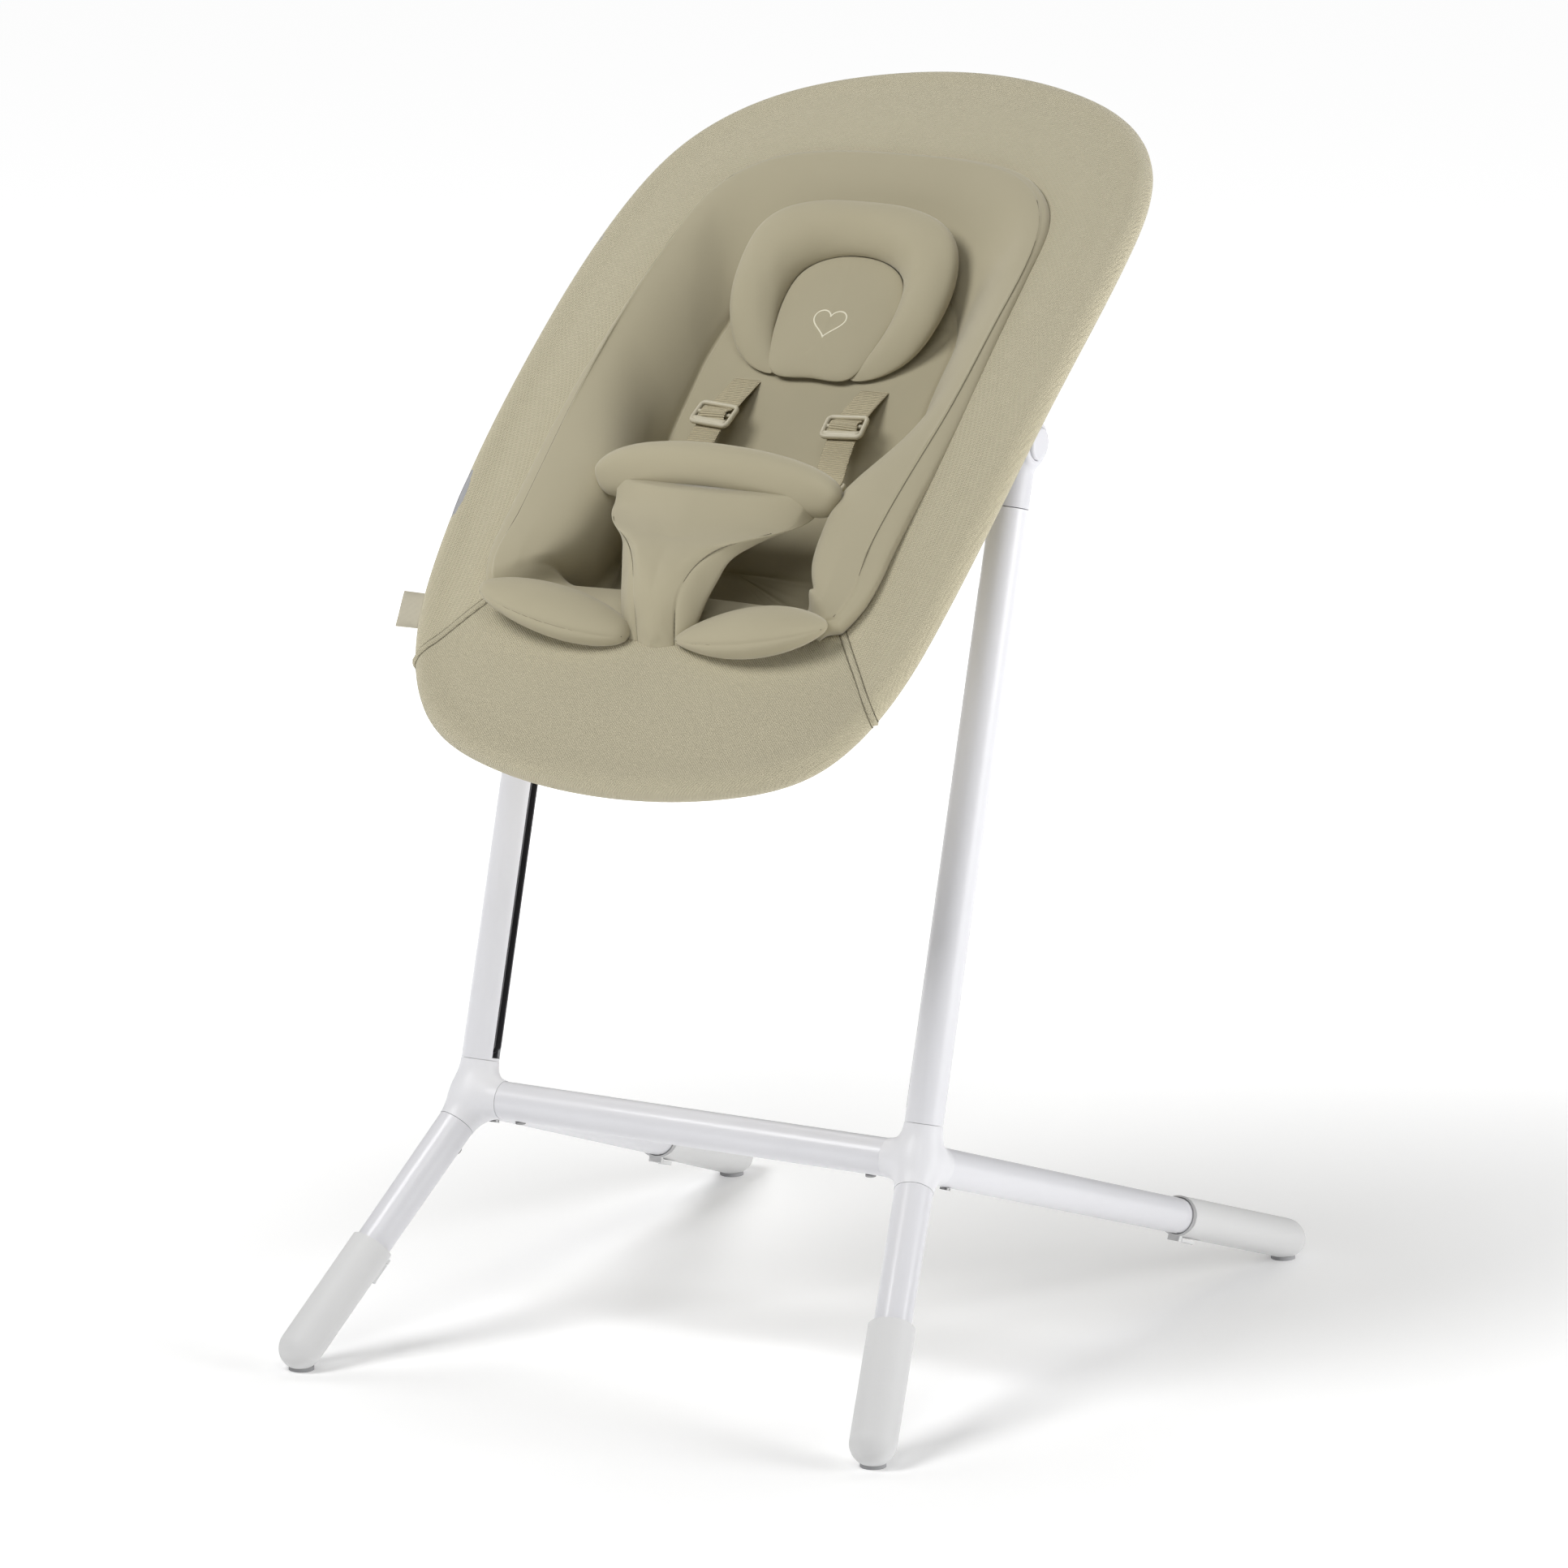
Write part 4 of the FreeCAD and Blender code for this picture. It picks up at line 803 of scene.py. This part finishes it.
def make_head_pad():
    """Thin flat pad inside the horseshoe, with a heart sewn on it."""
    outline = resample(cubic(mirrored(HEAD_PAD), 400, closed=True), 120, closed=True)

    def level(plan):
        return table(*HEAD_PAD_LEVEL, plan[:, 1])

    spine = np.stack([np.zeros(len(outline)), np.clip(outline[:, 1], 446, 500)], axis=1)
    piece = cushion("head_pad_padding", outline, spine, level, 4.5, 5.0, materials["soft_jersey"])
    inflate(piece, 1.5, 2.0, frames=10)
    subdivide(piece)
    settle(piece, "seat", "soft_jersey", "head_pad", fill=0.4)
    # The usual curve of a heart.
    turns = np.linspace(0, 2 * math.pi, 97)
    across = 16 * np.sin(turns) ** 3
    along = 13 * np.cos(turns) - 5 * np.cos(2 * turns) - 2 * np.cos(3 * turns) - np.cos(4 * turns)
    heart = raised(np.stack([across * MARK_SCALE, MARK_PLACE + along * MARK_SCALE], axis=1), 0.0)
    sew("head_pad_heart", heart, piece, SEAT, "seat", 1.3, thread="heart_mark")


# ---------------------------------------------------------------- leg bolsters
BOLSTER_ANGLES = (*range(0, 136, 15), 146, 152, 158, *range(170, 346, 15))
BOLSTER_SEAM = BOLSTER_ANGLES.index(152)
BOLSTER_STATIONS = 40
BOLSTER_END = 154.5
# Where each bolster starts, where it is fattest and how blunt its ends are: the two lie slightly differently.
BOLSTER_LIE = {"right": (18.0, 1.1, 0.6), "left": (21.0, 0.9, 0.5)}


def make_bolster(side, sign):
    """Lens-shaped pad: it tucks under the wall at its outer end, with a seam along its front."""
    inner, lean, blunt = BOLSTER_LIE[side]
    rings = []
    for step in range(BOLSTER_STATIONS + 1):
        f = step / BOLSTER_STATIONS
        swell = math.sin(math.pi * f**lean) ** blunt if 0 < f < 1 else 0.0
        along = 127.0 + 13.0 * f
        middle = float(arch(along)) + 14.0 + 18.5 * f
        ring = []
        for k, angle in enumerate(map(math.radians, BOLSTER_ANGLES)):
            inset = 1 - 0.075 * (k == BOLSTER_SEAM) * min(1.0, 8 * f * (1 - f))
            along_way = 22.0 * swell * inset * math.cos(angle)
            up_way = 18.0 * swell * inset * math.sin(angle)
            ring.append((sign * (inner + (BOLSTER_END - inner) * f), along + along_way, middle + up_way))
        rings.append(ring)
    piece = skin(f"{side}_bolster_padding", rings, materials["soft_jersey"])
    inflate(piece, 2.0, 2.0)
    subdivide(piece)
    settle(piece, "seat", "soft_jersey", f"{side}_leg_bolster", fill=0.8)
    line = [ring[BOLSTER_SEAM] for ring in rings[1:-1]]
    sew(f"{side}_bolster_seam", line, piece, SEAT, "seat")


# ---------------------------------------------------------------- harness
# Lines of the crotch pad from its foot to its top (across, towards the back, up) in the harness frame.
CROTCH_MIDDLE = (
    (0, 1, 0), (0, 0, 27), (0, 1, 43), (0, 6, 57), (0, 13, 68), (0, 21, 77), (0, 33, 86), (0, 45, 96),
    (0, 64, 116),
)
CROTCH_SEAM = (
    (16, 4, 0), (17, 2.5, 27), (18.5, 3, 43), (22.5, 9, 57), (30, 17, 69), (39.5, 26, 77), (61, 44, 86),
    (80, 78, 97), (86, 90, 115),
)
CROTCH_EDGE = (
    (27, 8, 0), (37, 11, 27), (41, 17, 43), (45, 25, 56), (48.5, 32, 67), (57, 47, 77), (77, 67, 88),
    (90, 98, 99), (93, 106, 115),
)
GUSSET_SHARES = (0.15, 0.35, 0.6, 0.85, 1.0)
CROTCH_BULGE = 2.0
SEWN_TOP = 14


def make_crotch_pad():
    """T-shaped pad: a front panel with a sewn seam down each side, and side panels turned back from it."""
    up, across = 56, 13
    middle, seam, edge = (cubic(line, up) for line in (CROTCH_MIDDLE, CROTCH_SEAM, CROTCH_EDGE))
    rings = []
    for i in range(up):
        right = []
        for f in np.linspace(0, 1, across):
            way = seam[i] - middle[i]
            right.append(middle[i] + way * f + (0, way[1] * (f * f - f) - CROTCH_BULGE * (1 - f * f), 0))
        right += [right[-1] + (0.9, 1.6, 0.0)]
        for f in GUSSET_SHARES:
            right.append(seam[i] + (edge[i] - seam[i]) * f - (0, 1.6 * math.sin(math.pi * f), 0))
        back = []
        for f in np.linspace(0, 1, 9)[1:]:
            point = edge[i] + (middle[i] - edge[i]) * f
            back.append(point + (0, 3.0 + 9.0 * math.sin(math.pi / 2 * f), 0))
        half = right + back
        rings.append(half + [point * (-1, 1, 1) for point in reversed(half[1:-1])])
    piece = skin("crotch_pad_padding", rings, materials["soft_jersey"], home=HARNESS, caps=True)
    inflate(piece, 0.8, 1.2, frames=10)
    subdivide(piece)
    settle(piece, "harness_front", "soft_jersey", "crotch_pad", fill=0.4)
    for name, sign in SIDES:
        line = (seam * (sign, 1, 1))[1 : up - SEWN_TOP]
        sew(f"{name}_crotch_seam", line, piece, HARNESS, "harness_front")


BUMPER_COUNT = 64
BUMPER_BEND = (-109, 100), (0, 88), (109, 100)
BUMPER_HEIGHT, BUMPER_DROP = 128.5, 17.5
BUMPER_ABOVE, BUMPER_BELOW, BUMPER_BELLY = 19.5, 20.0, 6.0
BUMPER_HALF = 11.5


def make_bumper():
    """Lap bar: a padded slab bent round the belly, its ends rounded above and squarer below."""
    bend = arc_through(*BUMPER_BEND, BUMPER_COUNT)
    share = np.linspace(-1, 1, BUMPER_COUNT)
    path = np.stack([bend[:, 0], bend[:, 1], BUMPER_HEIGHT - BUMPER_DROP * share**2], axis=1)
    rings = []
    for point, direction, f in zip(path, unit(np.gradient(path, axis=0)), share):
        tip = max((1 - abs(f) ** 16) ** 0.5, 0.02)
        top = max((1 - abs(f) ** 5) ** 0.5, 0.02)
        out = np.cross(direction, (0, 0, 1.0))
        out /= np.linalg.norm(out)
        up = np.cross(out, direction)
        below = (BUMPER_BELOW + BUMPER_BELLY * (1 - f * f)) * tip
        ring = []
        for c, s in circle(28):
            rise = squarer(s, 0.75) * (BUMPER_ABOVE * top if s > 0 else below)
            ring.append(point + out * BUMPER_HALF * c * (1 + 0.1 * s) * tip + up * rise)
        rings.append(ring)
    piece = skin("lap_bumper_padding", rings, materials["soft_jersey"], home=HARNESS, caps=True)
    inflate(piece, 2.5, 2.5)
    subdivide(piece)
    settle(piece, "harness_front", "soft_jersey", "lap_bumper", fill=0.9)


STRAP_WIDTH = 25.0
STRAP_THICK = 1.6
ADJUSTER_PLACE = 360.0
# The strap's middle line on the right side: across, along the seat and above the bent surface.
STRAP_ROUTE = (
    (57, 421, -41), (57, 414, -34.5), (57, 405, -31), (57, 388, -26), (58, 366, -21), (60, 344, -20.5),
    (63, 322, -21), (69, 304, -16), (75, 290, -6),
)
SLOT_CENTRE = (57.0, 416.0, -34.6)


def make_straps(side, sign):
    """Shoulder strap from its slot in the back to the clip behind the lap bar, with its adjuster and clip."""
    route = cubic([(sign * x, y, float(arch(y)) + above + 1.0) for x, y, above in STRAP_ROUTE], 60)
    strap = ribbon(f"{side}_strap_webbing", route, ACROSS, STRAP_WIDTH, STRAP_THICK, "webbing", "webbing")
    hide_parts(f"{side}_shoulder_strap")
    where = int(np.argmin(np.abs(route[:, 1] - ADJUSTER_PLACE)))
    make_adjuster(side, route[where], route[where - 1] - route[where + 1])
    make_strap_slot(side, sign)
    make_clip(side, route[-4], route[-6] - route[-2])


def make_strap_slot(side, sign):
    """Bound slit in the back that the strap comes out of."""
    across, along, above = SLOT_CENTRE
    centre = np.array([sign * across, along, float(arch(along)) + above])
    axes = (centre, np.array([1.0, 0, 0]), np.array([0, 1.0, 0.1]), np.array([0, -0.1, 1.0]))
    piece = bar_loop(f"{side}_strap_slot", rounded_rectangle(16.0, 3.4, 3.2), 1.3, 1.4, axes, "soft_jersey")
    settle(piece, "seat", "soft_jersey")


def plate_frame(point, along):
    """Axes of a flat fitting on a strap: across, along the strap, and out of it."""
    along = along / np.linalg.norm(along)
    across = np.array([1.0, 0, 0]) - along * along[0]
    across /= np.linalg.norm(across)
    return np.array(point), across, along, np.cross(across, along)


def rounded_rectangle(half_wide, half_long, corner, count=9):
    """Plan points round a rectangle with round corners."""
    points = []
    for quarter, (sx, sy) in enumerate(((1, 1), (-1, 1), (-1, -1), (1, -1))):
        for step in range(count):
            angle = math.pi / 2 * (quarter + step / (count - 1))
            across = sx * (half_wide - corner) + corner * math.cos(angle)
            points.append((across, sy * (half_long - corner) + corner * math.sin(angle)))
    return points


def bar_loop(name, path, radius_flat, radius_tall, frame_axes, material, closed=True):
    """A moulded bar of oval section along a flat loop or line, in a fitting's own axes."""
    origin, across, along, out = frame_axes
    path = np.asarray(path, float)
    ahead = np.roll(path, -1, axis=0) - np.roll(path, 1, axis=0) if closed else np.gradient(path, axis=0)
    rings = []
    for point, direction in zip(path, unit(ahead, 1e-9)):
        side = np.array([direction[1], -direction[0]])
        ring = []
        for c, s in circle(10):
            flat = point + side * radius_flat * c
            ring.append(origin + across * flat[0] + along * flat[1] + out * (radius_tall * s))
        rings.append(ring)
    return skin(name, rings, materials[material], close=closed, caps=not closed)


def joined(name, pieces):
    """Several meshes as one piece."""
    data = bmesh.new()
    for piece in pieces:
        data.from_mesh(piece.data)
    material = pieces[0].data.materials[0]
    for piece in pieces:
        bpy.data.objects.remove(piece)
    piece = as_object(name, data)
    piece.data.materials.append(material)
    return piece


# Webbing over the slider's bars: along the strap and out of it.
WRAP = ((9.6, -1.6), (7, -0.4), (4, 1.6), (1, 2.9), (-2, 2.0), (-4.6, 0.0), (-5.2, -1.6))
SLIDER_LIFT = 3.0


def make_adjuster(side, point, along):
    """Ladder-lock slider: a rounded frame, a broad lower bar and a middle bar that the webbing wraps over."""
    origin, across, along, out = plate_frame(point, along)
    origin = origin + out * SLIDER_LIFT
    axes = (origin, across, along, out)
    parts = [bar_loop("loop", rounded_rectangle(16.6, 10.6, 3.6), 1.9, 2.1, axes, "beige_plastic")]
    for y, half, tall in ((-7.4, 3.0, 1.9), (1.0, 1.7, 1.5)):
        line = [(x, y) for x in np.linspace(-15.5, 15.5, 9)]
        parts.append(bar_loop(f"bar_{y}", line, half, tall, axes, "beige_plastic", closed=False))
    piece = joined(f"{side}_adjuster_slider", parts)
    settle(piece, "seat", "beige_plastic", f"{side}_strap_adjuster")
    over = cubic([origin + along * y + out * z for y, z in WRAP], 24)
    ribbon(f"{side}_strap_wrap", over, ACROSS, STRAP_WIDTH - 1.0, STRAP_THICK, "webbing", "webbing")


def make_clip(side, point, along):
    """Flat plastic hook on the end of the strap, with rounded corners and a slot for the webbing."""
    axes = plate_frame(point, along)
    loop = bar_loop("loop", rounded_rectangle(13.6, 6.6, 3.0), 1.8, 2.2, axes, "beige_plastic")
    line = [(x, 0.6) for x in np.linspace(-12.5, 12.5, 9)]
    bar = bar_loop("bar", line, 3.2, 1.7, axes, "beige_plastic", closed=False)
    piece = joined(f"{side}_clip_hook", [loop, bar])
    settle(piece, "seat", "beige_plastic", f"{side}_strap_clip")


LABEL_SLANT, LABEL_IN, LABEL_DOWN = 0.24, 8.5, 9.5
# Half thickness of the folded tab at places across it, and its outline (along, side of the fold).
LABEL_FOLD = ((-12, 0.25), (-11.4, 0.55), (-6, 0.6), (0, 0.6), (6, 0.6), (11.5, 0.6))
LABEL_OUTLINE = (
    (-17, -1), (-17.2, 0), (-17, 1), (-8, 1), (0, 1), (8, 1), (17, 1), (17.2, 0), (17, -1), (8, -1), (0, -1),
    (-8, -1),
)


def make_label():
    """Blank folded tab sewn into the rim."""
    low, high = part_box("label_tab")
    centre = (low + high) / 2
    local = SEAT.inverted() @ centre / MM
    rings = []
    for x, thick in LABEL_FOLD:
        ring = []
        for y, z in LABEL_OUTLINE:
            wave = 0.5 * math.sin(y / 9.0) * (11.5 - x) / 23.0
            across = local.x + x - LABEL_SLANT * y + LABEL_IN
            ring.append((across, local.y + y - LABEL_DOWN, local.z + z * thick + wave))
        rings.append(ring)
    piece = skin("label_tab_fabric", rings, materials["label_fabric"], caps=True)
    settle(piece, "seat", "label_fabric", "label_tab")


SPRING_WIRE = 0.6
SPRING_TURNS = 4


def make_button_spring(side):
    """Steel coil round the pin, where the button's spring sits in the hub."""
    low, high = (np.array(corner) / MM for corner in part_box(f"{side}_button_spring"))
    middle = (low + high) / 2
    length = high[0] - low[0]
    coil = (high[2] - low[2]) / 2 - SPRING_WIRE
    rings = []
    whole = 2 * math.pi * SPRING_TURNS
    for turn in np.linspace(0, whole, 24 * SPRING_TURNS + 1):
        out = np.array([0.0, math.cos(turn), math.sin(turn)])
        run = low[0] + SPRING_WIRE + (length - 2 * SPRING_WIRE) * turn / whole
        point = np.array([run, middle[1], middle[2]]) + out * coil
        rings.append([point + SPRING_WIRE * (out * c + np.array([s, 0, 0])) for c, s in circle(8)])
    piece = skin(f"{side}_button_coil", rings, materials["bolt_steel"], home=ROW, caps=True)
    settle(piece, "seat_carrier", "bolt_steel", f"{side}_button_spring")
    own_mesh(piece)


def make_tongue():
    """Moulded tongue between the crotch pad and the lap bar, rounded all over."""
    low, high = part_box("harness_tongue")
    centre, half = (low + high) / 2 / MM, (high - low) / 2 / MM
    rings = []
    for z, grow in ((-1, 0.8), (-0.85, 0.95), (-0.4, 1), (0.4, 1), (0.85, 0.95), (1, 0.8)):
        loop = rounded_rectangle(half.x * grow, half.y * grow, 6.0 * grow)
        rings.append([(centre.x + x, centre.y + y, centre.z + z * half.z) for x, y in loop])
    piece = skin("tongue_moulding", rings, materials["beige_plastic"], home=ROW, caps=True)
    settle(piece, "harness_front", "beige_plastic", "harness_tongue")


# ---------------------------------------------------------------- blended castings
TUBE_RADIUS = 15.0
SHARP = 40.0
# In metres: how fine the castings' first mesh is and how softly their parts flow together.
NODE_VOXEL, NODE_BLEND = 0.0015, 0.0042
ADAPTER_VOXEL, ADAPTER_BLEND = 0.0014, 0.0026
STEM_LENGTH = 0.034


def plain_mesh(name, parts):
    """The vertices and faces of one or more convex solids as they are."""
    data = bmesh.new()
    for vertices, faces in parts:
        base = [data.verts.new(v) for v in vertices]
        for face in faces:
            data.faces.new([base[i] for i in face])
    bmesh.ops.recalc_face_normals(data, faces=data.faces)
    return as_object(name, data)


def union_mesh(name, parts, voxel):
    """One closed mesh round several overlapping convex solids."""
    piece = plain_mesh(name, parts)
    apply(piece, "REMESH", mode="VOXEL", voxel_size=voxel)
    return piece


def rod(start, direction, length, radius, sides=40):
    """Vertices and faces of a capped cylinder."""
    direction = np.array(direction, float)
    direction /= np.linalg.norm(direction)
    helper = np.array([1.0, 0, 0]) if abs(direction[0]) < 0.8 else np.array([0, 1.0, 0])
    u = np.cross(direction, helper)
    u /= np.linalg.norm(u)
    v = np.cross(direction, u)
    start = np.array(start, float)
    vertices = []
    for at in (0.0, length):
        for c, s in circle(sides):
            vertices.append(start + direction * at + radius * (c * u + s * v))
    faces = [(k, (k + 1) % sides, sides + (k + 1) % sides, sides + k) for k in range(sides)]
    faces += [tuple(range(sides))[::-1], tuple(range(sides, 2 * sides))]
    return vertices, faces


def settle_on(piece, distance, steps=8):
    """Moves every point onto the surface where the distance function is zero."""
    points = positions(piece.data)
    tiny = 1e-5
    for _ in range(steps):
        here = distance(points)
        slope = np.stack([(distance(points + tiny * axis) - here) / tiny for axis in np.eye(3)], axis=1)
        size = np.maximum((slope**2).sum(axis=1), 0.2)
        points = points - slope * (here / size)[:, None]
    piece.data.vertices.foreach_set("co", points.ravel())
    piece.data.update()


def trim(piece, planes):
    """Cuts the piece flat at each plane, given by a point and the direction that is cut away."""
    data = bmesh.new()
    data.from_mesh(piece.data)
    for point, away in planes:
        geom = data.verts[:] + data.edges[:] + data.faces[:]
        result = bmesh.ops.bisect_plane(data, geom=geom, plane_co=point, plane_no=away, clear_outer=True)
        rim = [item for item in result["geom_cut"] if isinstance(item, bmesh.types.BMEdge)]
        bmesh.ops.contextual_create(data, geom=rim)
    data.normal_update()
    data.to_mesh(piece.data)
    data.free()
    shade_by_angle(piece, SHARP)


def coat(piece, material):
    """The piece takes one material."""
    piece.data.materials.clear()
    piece.data.materials.append(materials[material])


def shade_by_angle(piece, degrees):
    """Smooth shading, but for edges sharper than the angle."""
    piece.data.polygons.foreach_set("use_smooth", [True] * len(piece.data.polygons))
    piece.data.set_sharp_from_angle(angle=math.radians(degrees))


def soft_min(values, width):
    """The least of several distances, rounded where two are nearly the same."""
    values = np.stack(values)
    return -width * np.log(np.exp(-values / width).sum(axis=0))


def ray_distance(points, start, direction, radius):
    """Distance from a rod that starts with a round end."""
    offset = points - start
    along = np.maximum(offset @ direction, 0)
    return np.linalg.norm(offset - along[:, None] * direction, axis=1) - radius


ARM_LENGTHS = {"bar": 27.0, "front": 27.0, "rear": 27.0, "post": 29.5}
NODE_CENTRE = (200.0, -167.0, 189.0)
FOOT_CENTRES = {"front": (255.7, -335.0, 17.7), "rear": (260.9, 335.0, 17.0)}
POST_TOP = (200.0, -14.0, 724.0)


def arm_directions(sign):
    """The middle of a knuckle and the direction of each of its four arms."""
    centre = np.array(NODE_CENTRE) * (sign, 1, 1)
    targets = {end: np.array(foot) * (sign, 1, 1) for end, foot in FOOT_CENTRES.items()}
    targets["post"] = np.array(POST_TOP) * (sign, 1, 1)
    targets["bar"] = centre * (0, 1, 1)
    return centre, {arm: (to - centre) / np.linalg.norm(to - centre) for arm, to in targets.items()}


def make_leg_node(side, sign):
    """Cast knuckle that flows from the post and the crossbar into the two legs."""
    centre, arms = arm_directions(sign)
    centre = centre * MM
    radius = TUBE_RADIUS * MM
    parts = [rod(centre - d * 0.006, d, ARM_LENGTHS[a] * MM + 0.014, radius) for a, d in arms.items()]
    piece = union_mesh(f"{side}_knuckle_casting", parts, NODE_VOXEL)

    def distance(points):
        return soft_min([ray_distance(points, centre, d, radius) for d in arms.values()], NODE_BLEND)

    settle_on(piece, distance)
    trim(piece, [(centre + d * (ARM_LENGTHS[a] * MM - 0.0003), d) for a, d in arms.items()])
    coat(piece, "white_casting")
    settle(piece, "base", "white_casting", f"{side}_leg_node")


HUB_RADIUS = 17.5
HUB_HALF = 17.0
ADAPTER_SEAM = 505.4
BUTTON_RECESS = 13.4
RECESS_DEPTH = 0.004 + 0.0275
HUB_EDGE = 0.0025


def make_adapter(side, sign):
    """Plastic head of the post: a round stem that flows into the hub, with a round recess for the button."""
    centre, arms = arm_directions(sign)
    up = arms["post"]
    pivot = np.array(POST_TOP) * (sign, 1, 1) * MM
    seam = centre * MM + up * ADAPTER_SEAM * MM
    across = np.array([1.0, 0, 0])
    parts = [rod(seam - up * 0.008, up, 0.05, TUBE_RADIUS * MM)]
    parts.append(rod(pivot - across * HUB_HALF * MM, across, 2 * HUB_HALF * MM, HUB_RADIUS * MM))
    piece = union_mesh(f"{side}_adapter_moulding", parts, ADAPTER_VOXEL)

    def hub(points):
        offset = points - pivot
        flat = np.abs(offset[:, 0]) - HUB_HALF * MM + HUB_EDGE
        ring = np.linalg.norm(offset[:, 1:], axis=1) - HUB_RADIUS * MM + HUB_EDGE
        outside = np.linalg.norm(np.maximum(np.stack([flat, ring]), 0), axis=0)
        return outside + np.minimum(np.maximum(flat, ring), 0) - HUB_EDGE

    def stem(points):
        offset = points - seam
        along = offset @ up
        side_way = np.linalg.norm(offset - along[:, None] * up, axis=1) - TUBE_RADIUS * MM
        return np.maximum(side_way, along - STEM_LENGTH)

    def distance(points):
        return soft_min([hub(points), stem(points)], ADAPTER_BLEND)

    settle_on(piece, distance)
    trim(piece, [(seam + up * 0.0002, -up)])
    outer = pivot + across * sign * (HUB_HALF * MM + 0.004)
    recess = rod(outer, -sign * across, RECESS_DEPTH, BUTTON_RECESS * MM, sides=72)
    cutter = plain_mesh(f"{side}_recess_cutter", [recess])
    apply(piece, "BOOLEAN", operation="DIFFERENCE", object=cutter, solver="EXACT")
    bpy.data.objects.remove(cutter)
    shade_by_angle(piece, SHARP)
    coat(piece, "white_plastic")
    settle(piece, "seat_carrier", "white_plastic", f"{side}_adapter")


# ---------------------------------------------------------------- studio
AIM = Vector((0.0, 0.0, 0.55))
VIEW_RIGHT = Vector((0.866, 0.5, 0.0))
VIEW_FRONT = Vector((0.5, -0.866, 0.0))
LAMP_WIDTH = 1.6
# Soft boxes: how far to the viewer's right, to the front and up they hang in metres, and their watts.
LAMPS = {
    "left_key": (-2.0, 1.2, 3.0, 71.0),
    "front_fill": (0.0, 2.2, 3.0, 19.0),
    "right_side": (3.0, 0.8, 1.2, 38.0),
    "right_low": (2.8, 1.6, 0.5, 17.0),
    "right_rim": (1.8, -2.0, 2.6, 18.0),
    "left_rim": (-1.8, -2.0, 2.6, 16.0),
    "back_rim": (0.0, -2.2, 3.2, 18.0),
}
AMBIENT = 0.01
# The floor glows more from 0.4 m to 2.3 m out, so that it fades into the white around it.
FLOOR_GLOW = (0.4, 2.3, 0.16, 0.95)
CAMERA_PLACE, CAMERA_TARGET, CAMERA_LENS = (3.206, -5.558, 1.844), (0.0, -0.027, 0.436), 191.8


def make_studio():
    """Pale floor in a white dome that only the camera sees, soft boxes and a little ambient light."""
    scene = bpy.context.scene
    world = bpy.data.worlds.new("studio")
    world.use_nodes = True
    background = world.node_tree.nodes["Background"].inputs
    background["Color"].default_value = (1.0, 1.0, 1.0, 1)
    background["Strength"].default_value = AMBIENT
    scene.world = world
    scene.view_settings.view_transform = "Standard"
    bpy.ops.mesh.primitive_plane_add(size=60.0, location=(0, 0, 0))
    floor = bpy.context.object
    floor.name = "studio_floor"
    nodes = Nodes("studio_floor")
    nodes.into("Base Color", nodes.between(nodes.noise(3.0), (0.90, 0.90, 0.90), (0.91, 0.91, 0.91)))
    nodes.into("Roughness", 0.9)
    nodes.into("Specular IOR Level", 0.1)
    nodes.into("Emission Color", (1.0, 1.0, 1.0, 1))
    distance = nodes.add("ShaderNodeVectorMath", {0: nodes.place()}, operation="LENGTH").outputs["Value"]
    inputs = {"Value": distance, **dict(zip(("From Min", "From Max", "To Min", "To Max"), FLOOR_GLOW))}
    nodes.into("Emission Strength", nodes.add("ShaderNodeMapRange", inputs).outputs["Result"])
    floor.data.materials.append(nodes.material)
    bpy.ops.mesh.primitive_uv_sphere_add(segments=48, ring_count=24, radius=28.0, location=(0, 0, 0))
    dome = bpy.context.object
    dome.name = "studio_dome"
    nodes = Nodes("studio_dome")
    nodes.into("Base Color", (0, 0, 0, 1))
    nodes.into("Emission Color", (1.0, 1.0, 1.0, 1))
    nodes.into("Emission Strength", 1.0)
    dome.data.materials.append(nodes.material)
    for kind in ("diffuse", "glossy", "transmission", "shadow"):
        setattr(dome, f"visible_{kind}", False)
    for name, (right, front, up, power) in LAMPS.items():
        lamp = bpy.data.lights.new(name, "AREA")
        lamp.shape = "DISK"
        lamp.size = LAMP_WIDTH
        lamp.energy = power
        holder = bpy.data.objects.new(name, lamp)
        scene.collection.objects.link(holder)
        holder.location = VIEW_RIGHT * right + VIEW_FRONT * front + Vector((0, 0, up))
        holder.rotation_euler = (AIM - holder.location).to_track_quat("-Z", "Y").to_euler()


def make_camera():
    """The camera, in front of the object and off to its right side."""
    camera = bpy.data.objects.new("camera", bpy.data.cameras.new("camera"))
    bpy.context.scene.collection.objects.link(camera)
    camera.location = CAMERA_PLACE
    camera.rotation_euler = (Vector(CAMERA_TARGET) - camera.location).to_track_quat("-Z", "Y").to_euler()
    camera.data.lens = CAMERA_LENS
    camera.data.sensor_width = 36.0
    bpy.context.scene.camera = camera


make_camera()
make_studio()
dress_cad()
make_cover()
make_sling()
make_inlay()
make_head_pillow()
make_head_pad()
make_crotch_pad()
make_bumper()
make_label()
make_tongue()
for side, sign in SIDES:
    make_bolster(side, sign)
    make_straps(side, sign)
    make_leg_node(side, sign)
    make_adapter(side, sign)
    make_button_spring(side)
